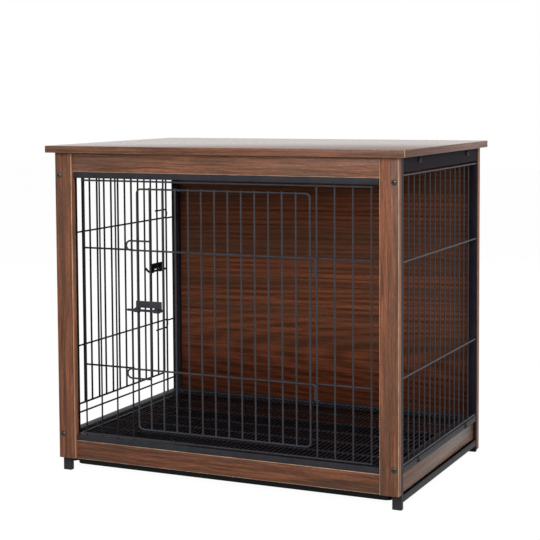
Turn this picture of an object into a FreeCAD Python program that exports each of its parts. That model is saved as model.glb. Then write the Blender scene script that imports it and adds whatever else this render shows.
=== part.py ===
import FreeCAD, Part
import math
import os
import re
import Sketcher

# Dog crate made as an end table, in millimetres.
# +X is to the right, +Y to the rear and +Z up.
# The origin is on the floor, under the middle of the table top.

Vector = FreeCAD.Vector
Rotation = FreeCAD.Rotation
Placement = FreeCAD.Placement

doc = FreeCAD.newDocument("dog_crate")

# Driving sizes: name, value, what it measures
SIZES = [
    ("TableLength", 820, "table top, left to right"),
    ("TableDepth", 563, "table top, front to rear"),
    ("TableThick", 15, "table top, thickness"),
    ("TableEdgeRound", 1, "rounding of the table top's upper edges"),
    ("OverallHeight", 714, "floor to table surface"),
    ("SideOverhang", 16.5, "table top past the legs, each side"),
    ("FrontOverhang", 13.5, "table top past the stiles"),
    ("RearOverhang", 3, "table top past the back panel"),
    ("StileWidth", 41, "front stile, width"),
    ("StileThick", 15, "front stile, thickness"),
    ("StileFloorGap", 30.5, "floor to the lower ends of the stiles and to the bottom rail"),
    ("RailThick", 15, "front rail, thickness"),
    ("RailRecess", 5, "front rail behind the stile's face"),
    ("TopRailHeight", 41.5, "front top rail, height"),
    ("BottomRailHeight", 41, "front bottom rail, height"),
    ("BackThick", 15, "back panel, thickness"),
    ("BackFloorGap", 3, "floor to back panel"),
    ("KickThick", 15, "kick panel and cleat, thickness"),
    ("KickFloorGap", 30.5, "floor to kick panel"),
    ("KickFace", 41, "kick panel, height that shows under the floor bar"),
    ("DowelDiameter", 6, "rail dowel"),
    ("DowelLength", 30, "rail dowel, half in each board"),
    ("DowelPitch", 20, "between the two dowels of a rail end"),
    ("DowelClear", 0.1, "dowel to bore"),
    ("LegWide", 20, "leg tube, left to right"),
    ("LegDeep", 12, "leg tube, front to rear"),
    ("LegWall", 1.2, "leg tube, wall"),
    ("CapThick", 3, "foot cap under the leg"),
    ("CapPlug", 12, "foot cap, plug inside the leg"),
    ("CapClear", 0.1, "foot cap plug to leg"),
    ("SideBarThick", 5, "side top plate and side floor bar, thickness"),
    ("TopPlateHeight", 30.5, "side top plate, height"),
    ("FloorBarHeight", 13, "side floor bar, height"),
    ("FrontBarDeep", 20, "front and rear bar tube, front to rear"),
    ("FrontBarHeight", 13, "front and rear bar tube, height"),
    ("FrontBarWall", 1.2, "front and rear bar tube, wall"),
    ("FrontBarEndGap", 3, "front bar end to stile"),
    ("TongueReach", 22, "bar tongue inside the front bar"),
    ("TongueDeep", 7, "bar tongue, front to rear"),
    ("TongueClear", 0.2, "bar tongue to front bar"),
    ("RunnerFloorGap", 14, "floor to tray runner"),
    ("RunnerHeight", 14, "tray runner, height"),
    ("RunnerWall", 2, "tray runner, wall"),
    ("RunnerLedge", 20, "tray runner's ledge past the legs"),
    ("BearerWall", 2, "grate bearer, wall"),
    ("BearerLedge", 20, "grate bearer's ledge, width"),
    ("GrateTop", 83, "floor to the top of the grate"),
    ("GrateRim", 6, "grate frame bar"),
    ("GrateCorner", 12, "grate frame, bend radius"),
    ("GrateCross", 5, "grate cross bar"),
    ("GrateCrossCount", 5, "grate cross bars"),
    ("GrateWire", 3, "grate wire"),
    ("GratePitch", 11, "grate wires, spacing"),
    ("GrateSideGap", 6, "grate frame to bearer"),
    ("GrateEndGap", 2, "grate frame to front and rear bar"),
    ("PanelWire", 3.5, "upright wire of the fixed walls"),
    ("CrossWire", 4, "level wire of the fixed walls"),
    ("WeldSink", 0.3, "how far welded wires sink into each other"),
    ("WireOverrun", 4, "level wire past the last upright"),
    ("SidePostGap", 32.5, "leg to the centre of a side doorway's post"),
    ("FrontWireCount", 4, "fixed front wires on each side of the door"),
    ("FrontWireStileGap", 21.6, "stile to the outermost fixed front wire"),
    ("FrontHeaderDrop", 4.8, "front top bar to header wire"),
    ("SillRise", 3.3, "floor bar to the lowest level wire"),
    ("SideHeaderDrop", 5.7, "side top plate to the highest level wire"),
    ("SideSillRise", 30.5, "side floor bar to the side door's sill wire"),
    ("RightWireCount", 13, "right wall wires"),
    ("RightWireGap", 43.75, "leg to the first right wall wire"),
    ("RightMidLowShare", 0.304, "lower middle wire, as a share of the right wall's height"),
    ("RightMidHighShare", 0.698, "upper middle wire, as a share of the right wall's height"),
    ("DoorWire", 4, "door frame and middle wires"),
    ("DoorRod", 3.6, "door upright wire"),
    ("DoorRodCount", 12, "door upright wires inside the frame"),
    ("DoorSillGap", 23.8, "front floor bar to the front door's frame"),
    ("DoorHeadGap", 21.3, "front door's frame to the front top bar"),
    ("DoorMidShare", 0.2525, "door frame to a middle wire, as a share of the door's height"),
    ("DoorGap", 14.4, "door frame to post, between wire centres"),
    ("DoorCorner", 9, "door frame, bend radius"),
    ("SideDoorRise", 24.5, "side door above the front door"),
    ("HingeClear", 0.3, "door wire to post"),
    ("HingeLeg", 33, "drop of the hinge hook"),
    ("HingeSlant", 8, "slanted stretch of the hinge hook"),
    ("HingeTail", 24, "hinge hook, tail after the curl"),
    ("LoopReach", 12.25, "stop loop past the post"),
    ("LoopRadius", 10, "stop loop, bend radius"),
    ("LoopReturn", 45.5, "stop loop, return end before the post"),
    ("BoltDiameter", 5.5, "latch bolt"),
    ("BoltClear", 0.25, "latch bolt to knuckle"),
    ("BoltLength", 86, "latch bolt, without its handle"),
    ("BoltPast", 10, "latch bolt past the post"),
    ("BoltTip", 5, "latch bolt, tapered tip"),
    ("HandleRise", 13.5, "latch handle"),
    ("HandleSlope", 45, "latch handle, angle above level"),
    ("HandleBend", 5, "latch handle, bend radius"),
    ("BracketThick", 1.5, "latch bracket sheet"),
    ("BracketLength", 60, "latch bracket"),
    ("BracketTall", 20, "latch bracket above the bolt"),
    ("BracketSlot", 5.5, "latch bracket, slot edge above the bolt"),
    ("BracketPostGap", 9.5, "latch bracket to post"),
    ("KnuckleLength", 13, "latch bracket, each knuckle"),
    ("TrayWall", 2, "waste tray, wall"),
    ("TrayCorner", 18, "waste tray, corner radius"),
    ("TraySideGap", 4, "waste tray to leg"),
    ("TrayFrontSet", 28, "stile face to waste tray"),
    ("TrayRearGap", 8, "waste tray to back panel"),
    ("TrayClear", 0.5, "waste tray to runner and to bottom rail"),
    ("ScrewDiameter", 4.2, "screw and bolt shank"),
    ("ScrewHead", 12, "screw and bolt head"),
    ("ScrewHeadThick", 2.8, "screw and bolt head, thickness"),
    ("ScrewBite", 8, "screw past the piece that it clamps"),
    ("ScrewClear", 0.2, "shank to hole"),
    ("StileScrewTop", 48.8, "table top to upper stile screw"),
    ("StileScrewLow", 53.2, "stile end to lower stile screw"),
    ("SideBoltFront", 92.5, "front leg to side bolt"),
    ("SideBoltRear", 76, "rear leg to side bolt"),
    ("SideBoltDrop", 9.8, "table top to upper side bolts"),
    ("NutWide", 8, "side bolt nut, across flats"),
    ("NutThick", 4, "side bolt nut, thickness"),
    ("BackScrewLow", 60, "floor to lowest back panel screw"),
    ("BackScrewTop", 50, "table top to highest back panel screw"),
    ("BackScrewRows", 3, "back panel screws on each leg"),
    ("TableScrewSpread", 130, "table screws, from the middle of the side"),
    ("TableScrewBite", 9, "table screw inside the table top"),
]

# Places worked out from the driving sizes: name, expression
PLACES = [
    ("BodySide", "TableLength / 2 - SideOverhang"),
    ("TableUnder", "OverallHeight - TableThick"),
    ("StileFront", "FrontOverhang - TableDepth / 2"),
    ("StileInner", "BodySide - StileWidth"),
    ("LegInner", "BodySide - LegWide"),
    ("FrontLegFront", "StileFront + StileThick"),
    ("FrontLegRear", "FrontLegFront + LegDeep"),
    ("BackRear", "TableDepth / 2 - RearOverhang"),
    ("BackFront", "BackRear - BackThick"),
    ("RearLegFront", "BackFront - LegDeep"),
    ("SideMiddle", "(FrontLegRear + RearLegFront) / 2"),
    ("DoorwayWidth", "RearLegFront - FrontLegRear - 2 * SidePostGap"),
    ("RightWirePitch", "(RearLegFront - FrontLegRear - 2 * RightWireGap) / (RightWireCount - 1)"),
    ("RailFront", "StileFront + RailRecess"),
    ("RailRear", "RailFront + RailThick"),
    ("TopRailUnder", "TableUnder - TopRailHeight"),
    ("BottomRailTop", "StileFloorGap + BottomRailHeight"),
    ("FrontBarRear", "RailFront + FrontBarDeep"),
    ("FrontBarEnd", "StileInner - FrontBarEndGap"),
    ("FrontBarTop", "BottomRailTop + FrontBarHeight"),
    ("FrontBarUnder", "TopRailUnder - FrontBarHeight"),
    ("FrontWirePitch", "(StileInner - FrontWireStileGap - DoorwayWidth / 2) / (FrontWireCount - 1)"),
    ("DoorFloor", "FrontBarTop + DoorSillGap"),
    ("DoorHeight", "FrontBarUnder - DoorHeadGap - DoorFloor"),
    ("DoorMidLow", "DoorHeight * DoorMidShare"),
    ("DoorMidHigh", "DoorHeight * (1 - DoorMidShare)"),
    ("BoltHeight", "DoorHeight / 2"),
    ("RearBarFront", "BackFront - FrontBarDeep"),
    ("FrontWirePlane", "RailFront + FrontBarDeep / 2"),
    ("FrontLevelPlane", "FrontWirePlane + (PanelWire + CrossWire) / 2"),
    ("FrontOuterPlane", "FrontWirePlane - (PanelWire + CrossWire) / 2"),
    ("SidePlateInner", "BodySide - SideBarThick"),
    ("KickInner", "SidePlateInner - KickThick"),
    ("SidePlateUnder", "TableUnder - TopPlateHeight"),
    ("SideBarUnder", "KickFloorGap + KickFace"),
    ("SideBarTop", "SideBarUnder + FloorBarHeight"),
    ("SideWirePlane", "BodySide - SideBarThick / 2"),
    ("RightMidLow", "SideBarTop + (SidePlateUnder - SideBarTop) * RightMidLowShare"),
    ("RightMidHigh", "SideBarTop + (SidePlateUnder - SideBarTop) * RightMidHighShare"),
    ("SideLevelPlane", "SideWirePlane - (PanelWire + CrossWire) / 2"),
    ("SideHeader", "SidePlateUnder - SideHeaderDrop"),
    ("SideBoltMiddle", "SideBarUnder + FloorBarHeight / 2"),
    ("FrontHeader", "FrontBarUnder - FrontHeaderDrop"),
    ("FrontSill", "FrontBarTop + SillRise"),
    ("FrontWireEnd", "DoorwayWidth / 2 + (FrontWireCount - 1) * FrontWirePitch + WireOverrun"),
    ("BearerInner", "KickInner - BearerWall"),
    ("BearerTop", "GrateTop - GrateWire - GrateRim"),
    ("GrateSide", "BearerInner - GrateSideGap"),
    ("GrateFront", "FrontBarRear + GrateEndGap"),
    ("GrateRear", "RearBarFront - GrateEndGap"),
    ("GrateRimTop", "GrateTop - GrateWire"),
    ("MidPlane", "PanelWire / 2 + DoorWire / 2 + HingeClear"),
    ("RingPlane", "MidPlane - DoorWire + WeldSink"),
    ("RodPlane", "MidPlane - (DoorWire + DoorRod) / 2 + WeldSink"),
    ("DoorFace", "MidPlane - DoorWire / 2 + WeldSink"),
    ("KnuckleOuter", "BoltDiameter / 2 + BoltClear + BracketThick"),
    ("BoltPlane", "DoorFace + KnuckleOuter"),
    ("TrayUnder", "RunnerFloorGap + RunnerWall + TrayClear"),
    ("TrayTop", "StileFloorGap - TrayClear"),
    ("TraySide", "LegInner - TraySideGap"),
    ("TrayFront", "StileFront + TrayFrontSet"),
    ("TrayRear", "BackFront - TrayRearGap"),
    ("LegMiddle", "BodySide - LegWide / 2"),
    ("BackScrewPitch", "(TableUnder - BackScrewTop - BackScrewLow) / (BackScrewRows - 1)"),
    ("CleatMiddle", "KickInner + KickThick / 2"),
]

sizes = doc.addObject("Spreadsheet::Sheet", "Sizes")
for row, (alias, amount, words) in enumerate(SIZES, start=1):
    sizes.set(f"A{row}", words)
    sizes.set(f"B{row}", str(amount))
    sizes.setAlias(f"B{row}", alias)
doc.recompute()

places = doc.addObject("App::VarSet", "Places")
HOMES = {alias: "Sizes" for alias, amount, words in SIZES}


def bound(text):
    """Expression text with each size and place named by the object that holds it."""
    return re.sub(r"[A-Za-z]\w+", lambda word: f"{HOMES[word.group()]}.{word.group()}", str(text))


for name, text in PLACES:
    places.addProperty("App::PropertyFloat", name)
    places.setExpression(name, bound(text))
    HOMES[name] = "Places"
doc.recompute()


def val(name):
    """Number that a size or a place holds now."""
    holder = sizes if HOMES[name] == "Sizes" else places
    return float(getattr(holder, name))


def count(name):
    """Size that counts pieces, as a whole number."""
    return max(1, round(val(name)))


subparts = []


def keep(obj):
    """Mark a document object as a sub-part: its Label names its file."""
    subparts.append(obj)
    return obj


def block(name, x, y, z):
    """Box between pairs of expressions along X, Y and Z."""
    obj = doc.addObject("Part::Box", name)
    for side, axis, (low, high) in zip(("Length", "Width", "Height"), "xyz", (x, y, z)):
        obj.setExpression(side, bound(f"({high}) - ({low})"))
        obj.setExpression(f"Placement.Base.{axis}", bound(low))
    return obj


TURNS = {
    "x": Rotation(Vector(0, 1, 0), 90),
    "y": Rotation(Vector(1, 0, 0), -90),
    "z": Rotation(),
}
OCTAGON = 8
HALF_FLAT = 180 / OCTAGON
ROUND_TO_FLATS = 2 * math.cos(math.radians(HALF_FLAT))


def at(obj, turn, spot):
    """Turn an object and bind its place to three expressions."""
    obj.Placement = Placement(Vector(), turn)
    for axis, text in zip("xyz", spot):
        obj.setExpression(f"Placement.Base.{axis}", bound(text))
    return obj


def straight_wire(name, axis, thick, low, high, spot):
    """Eight-sided wire along an axis from low to high, flats facing the other axes."""
    obj = doc.addObject("Part::Prism", name)
    obj.Polygon = OCTAGON
    obj.setExpression("Circumradius", f"({bound(thick)}) / {ROUND_TO_FLATS}")
    obj.setExpression("Height", bound(f"({high}) - ({low})"))
    spot = list(spot)
    spot.insert("xyz".index(axis), low)
    return at(obj, TURNS[axis].multiply(Rotation(Vector(0, 0, 1), HALF_FLAT)), spot)


def hole(name, axis, low, high, spot):
    """Screw hole along an axis, with room round the shank."""
    return straight_wire(name, axis, "ScrewDiameter + 2 * ScrewClear", low, high, spot)


def pilot(name, axis, low, high, spot):
    """Screw hole that the thread fills."""
    return straight_wire(name, axis, "ScrewDiameter", low, high, spot)


def fused(name, pieces):
    """Pieces joined where they meet."""
    obj = doc.addObject("Part::MultiFuse", name)
    obj.Shapes = pieces
    obj.Refine = True
    return obj


def cut(name, base, tools):
    """Base with tools taken out of it."""
    obj = doc.addObject("Part::Cut", name)
    obj.Base = base
    obj.Tool = tools[0] if len(tools) == 1 else fused(name + "_tools", tools)
    return obj


def tube(name, x, y, z, along, wall):
    """Rectangular tube, open at both ends along one axis."""
    spans = {"x": x, "y": y, "z": z}
    hollow = {
        axis: span if axis == along else (f"{span[0]} + {wall}", f"{span[1]} - {wall}")
        for axis, span in spans.items()
    }
    outer = block(name + "_outer", x, y, z)
    inner = block(name + "_inner", hollow["x"], hollow["y"], hollow["z"])
    return cut(name, outer, [inner])


def right(span):
    """Span along X for the right-hand piece."""
    return span


def left(span):
    """The same span mirrored for the left-hand piece."""
    return (f"-({span[1]})", f"-({span[0]})")


SIDES = {"left": left, "right": right}
SIGNS = {"left": "-1", "right": "1"}

# Table top: a board with its upper edges eased
table = doc.addObject("PartDesign::Body", "table_board")
ground = next(plane for plane in table.Origin.OriginFeatures if plane.Role == "XY_Plane")
outline = table.newObject("Sketcher::SketchObject", "table_outline")
outline.AttachmentSupport = (ground, "")
outline.MapMode = "FlatFace"
corners = [(-1, -1), (1, -1), (1, 1), (-1, 1)]
half_size = (val("TableLength") / 2, val("TableDepth") / 2)
ends = [Vector(sx * half_size[0], sy * half_size[1], 0) for sx, sy in corners]
for index in range(4):
    outline.addGeometry(Part.LineSegment(ends[index], ends[(index + 1) % 4]), False)
for index in range(4):
    outline.addConstraint(Sketcher.Constraint("Coincident", index, 2, (index + 1) % 4, 1))
for index in (0, 2):
    outline.addConstraint(Sketcher.Constraint("Horizontal", index))
for index in (1, 3):
    outline.addConstraint(Sketcher.Constraint("Vertical", index))
outline.addConstraint(Sketcher.Constraint("Symmetric", 0, 1, 1, 2, -1, 1))
length_rule = outline.addConstraint(Sketcher.Constraint("Distance", 0, 2 * half_size[0]))
depth_rule = outline.addConstraint(Sketcher.Constraint("Distance", 1, 2 * half_size[1]))
outline.setExpression(f"Constraints[{length_rule}]", bound("TableLength"))
outline.setExpression(f"Constraints[{depth_rule}]", bound("TableDepth"))
slab = table.newObject("PartDesign::Pad", "table_slab")
slab.Profile = outline
slab.setExpression("Length", bound("TableThick"))
doc.recompute()
eased = table.newObject("PartDesign::Fillet", "table_edges")
upper_edges = [
    f"Edge{number}"
    for number, edge in enumerate(slab.Shape.Edges, start=1)
    if edge.BoundBox.ZMin > val("TableThick") / 2
]
eased.Base = (slab, upper_edges)
eased.setExpression("Radius", bound("TableEdgeRound"))
table.Tip = eased
table.setExpression("Placement.Base.z", bound("TableUnder"))
TABLE_SCREWS = {"front": "SideMiddle - TableScrewSpread", "rear": "SideMiddle + TableScrewSpread"}
table_pilots = [
    pilot(f"table_pilot_{side}_{line}", "z", "TableUnder", "TableUnder + TableScrewBite",
          (f"{SIGNS[side]} * CleatMiddle", depth))
    for side in SIDES
    for line, depth in TABLE_SCREWS.items()
]
keep(cut("table_top", table, table_pilots))

# Front frame: two stiles with two rails dowelled between them
RAILS = {
    "top_rail": ("TopRailUnder", "TableUnder"),
    "bottom_rail": ("StileFloorGap", "BottomRailTop"),
}
DOWEL_LINE = "(RailFront + FrontLegFront) / 2"
DOWEL_HOLE = "DowelDiameter + 2 * DowelClear"


def dowel_spots():
    """Each dowel's name, side and height."""
    for rail, (low, high) in RAILS.items():
        for side in SIDES:
            for row, way in enumerate(("-", "+"), start=1):
                yield f"{rail}_{side}_{row}", rail, side, f"({low} + {high}) / 2 {way} DowelPitch / 2"


def dowel_span(side):
    """Dowel's length across the joint between rail and stile."""
    return SIDES[side](("StileInner - DowelLength / 2", "StileInner + DowelLength / 2"))


STILE_SCREWS = {"upper": "TableUnder - StileScrewTop", "lower": "StileFloorGap + StileScrewLow"}

for side, across in SIDES.items():
    board = block(
        f"stile_{side}_board",
        across(("StileInner", "BodySide")),
        ("StileFront", "FrontLegFront"),
        ("StileFloorGap", "TableUnder"),
    )
    holes = [
        hole(f"stile_{side}_{name}_hole", "y", "StileFront", "FrontLegFront",
             (f"{SIGNS[side]} * LegMiddle", height))
        for name, height in STILE_SCREWS.items()
    ]
    holes += [
        straight_wire(f"stile_bore_{spot}", "x", DOWEL_HOLE, *dowel_span(side), (DOWEL_LINE, height))
        for spot, rail, hand, height in dowel_spots()
        if hand == side
    ]
    keep(cut(f"stile_{side}", board, holes))

for rail, levels in RAILS.items():
    board = block(f"{rail}_board", ("-StileInner", "StileInner"), ("RailFront", "RailRear"), levels)
    bores = [
        straight_wire(f"rail_bore_{spot}", "x", DOWEL_HOLE, *dowel_span(side), (DOWEL_LINE, height))
        for spot, owner, side, height in dowel_spots()
        if owner == rail
    ]
    keep(cut(rail, board, bores))

dowels = doc.addObject("Part::Compound", "rail_dowels")
dowels.Links = [
    straight_wire(f"dowel_{spot}", "x", "DowelDiameter", *dowel_span(side), (DOWEL_LINE, height))
    for spot, rail, side, height in dowel_spots()
]
keep(dowels)

# Legs of rectangular tube, each with a cap pressed into its foot
BACK_ROWS = [f"BackScrewLow + {row} * BackScrewPitch" for row in range(count("BackScrewRows"))]
LEG_ROWS = {"front": ("FrontLegFront", "FrontLegRear"), "rear": ("RearLegFront", "BackFront")}
caps = []
for end, depth in LEG_ROWS.items():
    for side, across in SIDES.items():
        wide = across(("LegInner", "BodySide"))
        pipe = tube(f"leg_{end}_{side}_pipe", wide, depth, ("CapThick", "TableUnder"), "z", "LegWall")
        wall = (depth[0], f"{depth[0]} + LegWall") if end == "front" else (f"{depth[1]} - LegWall", depth[1])
        heights = STILE_SCREWS.values() if end == "front" else BACK_ROWS
        pilots = [
            pilot(f"leg_{end}_{side}_pilot_{row}", "y", *wall, (f"{SIGNS[side]} * LegMiddle", height))
            for row, height in enumerate(heights)
        ]
        keep(cut(f"leg_{end}_{side}", pipe, pilots))
        sole = block(f"cap_sole_{end}_{side}", wide, depth, (0, "CapThick"))
        plug = block(
            f"cap_plug_{end}_{side}",
            (f"{wide[0]} + LegWall + CapClear", f"{wide[1]} - LegWall - CapClear"),
            (f"{depth[0]} + LegWall + CapClear", f"{depth[1]} - LegWall - CapClear"),
            (0, "CapThick + CapPlug"),
        )
        caps.append(fused(f"cap_{end}_{side}", [sole, plug]))
foot_caps = doc.addObject("Part::Compound", "foot_caps")
foot_caps.Links = caps
keep(foot_caps)

# Back panel, screwed on the rear legs from behind
back_board = block(
    "back_board", ("-BodySide", "BodySide"), ("BackFront", "BackRear"), ("BackFloorGap", "TableUnder")
)
back_holes = [
    hole(f"back_hole_{side}_{row}", "y", "BackFront", "BackRear", (f"{SIGNS[side]} * LegMiddle", height))
    for side in SIDES
    for row, height in enumerate(BACK_ROWS)
]
keep(cut("back_panel", back_board, back_holes))

# Sides: steel bars between the legs, over a cleat at the top and a kick panel at the bottom
BETWEEN_LEGS = ("FrontLegRear", "RearLegFront")
BOLT_LINES = {"front": "FrontLegRear + SideBoltFront", "rear": "RearLegFront - SideBoltRear"}
SIDE_BOLTS = {"top": "TableUnder - SideBoltDrop", "floor": "SideBoltMiddle"}


def side_holes(piece, side, height, span):
    """Holes for the two side bolts of one height."""
    low, high = SIDES[side](span)
    return [
        hole(f"{piece}_{side}_{line}_hole", "x", low, high, (depth, height))
        for line, depth in BOLT_LINES.items()
    ]


for side, across in SIDES.items():
    bar = ("SidePlateInner", "BodySide")
    board = ("KickInner", "SidePlateInner")
    bearer = ("BearerInner", "KickInner")
    plate = block(f"top_plate_{side}_blank", across(bar), BETWEEN_LEGS, ("SidePlateUnder", "TableUnder"))
    keep(cut(f"side_top_plate_{side}", plate, side_holes("top_plate", side, SIDE_BOLTS["top"], bar)))
    cleat = block(f"cleat_{side}_board", across(board), BETWEEN_LEGS, ("SidePlateUnder", "TableUnder"))
    bite = across(("SidePlateInner - ScrewBite", "SidePlateInner"))
    cleat_holes = [
        pilot(f"cleat_{side}_{line}_pilot", "x", *bite, (depth, SIDE_BOLTS["top"]))
        for line, depth in BOLT_LINES.items()
    ]
    cleat_holes += [
        hole(f"cleat_{side}_{line}_hole", "z", "SidePlateUnder", "TableUnder",
             (f"{SIGNS[side]} * CleatMiddle", depth))
        for line, depth in TABLE_SCREWS.items()
    ]
    keep(cut(f"side_top_cleat_{side}", cleat, cleat_holes))
    strip = block(f"floor_bar_{side}_blank", across(bar), BETWEEN_LEGS, ("SideBarUnder", "SideBarTop"))
    keep(cut(f"side_floor_bar_{side}", strip, side_holes("floor_bar", side, SIDE_BOLTS["floor"], bar)))
    kick = block(f"kick_{side}_board", across(board), BETWEEN_LEGS, ("KickFloorGap", "SideBarTop"))
    keep(cut(f"kick_panel_{side}", kick, side_holes("kick", side, SIDE_BOLTS["floor"], board)))
    along_bearer = ("FrontLegRear", "RearBarFront")
    web = block(
        f"bearer_{side}_web", across(bearer), along_bearer, ("BearerTop - BearerWall", "SideBarTop")
    )
    ledge = block(
        f"bearer_{side}_ledge",
        across(("KickInner - BearerLedge", "KickInner")),
        along_bearer,
        ("BearerTop - BearerWall", "BearerTop"),
    )
    angle = fused(f"bearer_{side}_angle", [web, ledge])
    keep(cut(f"grate_bearer_{side}", angle, side_holes("bearer", side, SIDE_BOLTS["floor"], bearer)))
    flange = block(
        f"runner_{side}_flange",
        across(("BodySide - RunnerWall", "BodySide")),
        BETWEEN_LEGS,
        ("RunnerFloorGap", "RunnerFloorGap + RunnerHeight"),
    )
    shelf = block(
        f"runner_{side}_shelf",
        across(("LegInner - RunnerLedge", "BodySide")),
        BETWEEN_LEGS,
        ("RunnerFloorGap", "RunnerFloorGap + RunnerWall"),
    )
    keep(fused(f"tray_runner_{side}", [flange, shelf]))

# Cross bars of tube: two on the front rails, one along the back panel
FRONT_BAR = ("-FrontBarEnd", "FrontBarEnd")
keep(tube("front_top_bar", FRONT_BAR, ("RailFront", "FrontBarRear"), ("FrontBarUnder", "TopRailUnder"),
          "x", "FrontBarWall"))
keep(tube("front_floor_bar", FRONT_BAR, ("RailFront", "FrontBarRear"), ("BottomRailTop", "FrontBarTop"),
          "x", "FrontBarWall"))
keep(tube("rear_floor_bar", ("-LegInner", "LegInner"), ("RearBarFront", "BackFront"),
          ("BottomRailTop", "FrontBarTop"), "x", "FrontBarWall"))

# Tongues on the front legs, one inside each end of the front bars
FRONT_BARS = {"top": ("FrontBarUnder", "TopRailUnder"), "floor": ("BottomRailTop", "FrontBarTop")}
TONGUE_REAR = "FrontBarRear - FrontBarWall - TongueClear"
tongues = []
for bar, (low, high) in FRONT_BARS.items():
    for side, across in SIDES.items():
        tongues.append(block(
            f"tongue_{bar}_{side}",
            across(("FrontBarEnd - TongueReach", "LegInner")),
            (f"{TONGUE_REAR} - TongueDeep", TONGUE_REAR),
            (f"{low} + FrontBarWall + TongueClear", f"{high} - FrontBarWall - TongueClear"),
        ))
bar_tongues = doc.addObject("Part::Compound", "bar_tongues")
bar_tongues.Links = tongues
keep(bar_tongues)

# Fixed front wires on each side of the doorway, with a header and a sill wire across
FRONT_MIDS = {"low": "DoorFloor + DoorMidLow", "high": "DoorFloor + DoorMidHigh"}
for side, across in SIDES.items():
    uprights = [
        straight_wire(f"front_upright_{side}_{row}", "z", "PanelWire", "FrontBarTop", "FrontBarUnder",
                      (f"{SIGNS[side]} * (DoorwayWidth / 2 + {row} * FrontWirePitch)", "FrontWirePlane"))
        for row in range(count("FrontWireCount"))
    ]
    levels = [
        straight_wire(f"front_level_{side}_{name}", "x", "CrossWire",
                      *across(("DoorwayWidth / 2 - PanelWire / 2", "FrontWireEnd")),
                      ("FrontLevelPlane - WeldSink", height))
        for name, height in FRONT_MIDS.items()
    ]
    keep(fused(f"front_wires_{side}", uprights + levels))
for name, height in {"header": "FrontHeader", "sill": "FrontSill"}.items():
    keep(straight_wire(f"front_{name}_wire", "x", "CrossWire", "-FrontWireEnd", "FrontWireEnd",
                       ("FrontOuterPlane", height)))

# Left side: two posts tied to the legs, with a header and a sill wire across
SIDE_MIDS = {name: f"{height} + SideDoorRise" for name, height in FRONT_MIDS.items()}
FRONT_POST = "SideMiddle - DoorwayWidth / 2"
REAR_POST = "SideMiddle + DoorwayWidth / 2"
SIDE_POSTS = {
    "front": (FRONT_POST, ("FrontLegRear", f"{FRONT_POST} + PanelWire / 2")),
    "rear": (REAR_POST, (f"{REAR_POST} - PanelWire / 2", "RearLegFront")),
}
for end, (line, reach) in SIDE_POSTS.items():
    post = straight_wire(f"side_{end}_upright", "z", "PanelWire", "SideBarTop", "SidePlateUnder",
                         ("-SideWirePlane", line))
    ties = [
        straight_wire(f"side_{end}_tie_{name}", "y", "CrossWire", *reach,
                      ("-SideLevelPlane - WeldSink", height))
        for name, height in SIDE_MIDS.items()
    ]
    keep(fused(f"side_post_{end}", [post] + ties))
for name, height in {"header": "SideHeader", "sill": "SideBarTop + SideSillRise"}.items():
    keep(straight_wire(f"side_{name}_wire", "y", "CrossWire", *BETWEEN_LEGS, ("-SideLevelPlane", height)))

# Right side: a fixed wall of upright wires behind four level ones
RIGHT_LEVELS = ["SideBarTop + SillRise", "RightMidLow", "RightMidHigh", "SideHeader"]
right_wires = [
    straight_wire(f"right_level_{row}", "y", "CrossWire", *BETWEEN_LEGS, ("SideWirePlane", height))
    for row, height in enumerate(RIGHT_LEVELS)
]
right_count = count("RightWireCount")
right_wires += [
    straight_wire(f"right_upright_{row}", "z", "PanelWire", "SideBarTop", "SideHeader + CrossWire / 2",
                  ("SideLevelPlane + WeldSink",
                   f"SideMiddle + {row - (right_count - 1) / 2} * RightWirePitch"))
    for row in range(right_count)
]
keep(fused("right_wire_panel", right_wires))


BEND_STEP = 45


def stepped(points, radius):
    """Path through points whose corners turn in short straight steps round an arc."""
    path = [points[0]]
    for before, corner, after in zip(points, points[1:], points[2:]):
        back = (before - corner).normalize()
        ahead = (after - corner).normalize()
        turn = math.pi - back.getAngle(ahead)
        steps = math.ceil(math.degrees(turn) / BEND_STEP - 1e-6)
        centre = corner + (back + ahead).normalize() * (radius / math.cos(turn / 2))
        spoke = corner + back * (radius * math.tan(turn / 2)) - centre
        for step in range(steps):
            angle = math.degrees(turn) * (2 * step + 1) / (2 * steps)
            turned = Rotation(ahead.cross(back), angle).multVec(spoke)
            path.append(centre + turned * (1 / math.cos(turn / (2 * steps))))
    path.append(points[-1])
    return path


def bent_wire(path, normal, thick, tip=None):
    """Eight-sided wire along a flat path, mitred at its corners; tip is the thickness at its start."""
    ways = [(after - before).normalize() for before, after in zip(path, path[1:])]
    rings = []
    for index, spot in enumerate(path):
        into = ways[max(index - 1, 0)]
        out = ways[min(index, len(ways) - 1)]
        mitre = (into + out).normalize()
        side = normal.cross(mitre) * (1 / mitre.dot(out))
        reach = (tip if tip and index == 0 else thick) / ROUND_TO_FLATS
        ring = []
        for number in range(OCTAGON):
            angle = math.radians(HALF_FLAT * (2 * number + 1))
            ring.append(spot + normal * (reach * math.cos(angle)) + side * (reach * math.sin(angle)))
        rings.append(ring)
    faces = [Part.Face(Part.makePolygon(ring + ring[:1])) for ring in (rings[0], rings[-1])]
    for near, far in zip(rings, rings[1:]):
        for number in range(OCTAGON):
            after = (number + 1) % OCTAGON
            faces.append(Part.Face(Part.makePolygon(
                [near[number], near[after], far[after], far[number], near[number]]
            )))
    solid = Part.Solid(Part.Shell(faces))
    if solid.Volume < 0:
        solid.reverse()
    return solid


def feature(name, shape):
    """Document object that holds a shape made from the sheet's sizes."""
    obj = doc.addObject("Part::Feature", name)
    obj.Shape = shape
    return obj


OUT = Vector(0, 1, 0)
UP = Vector(0, 0, 1)
ALONG = Vector(1, 0, 0)


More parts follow.
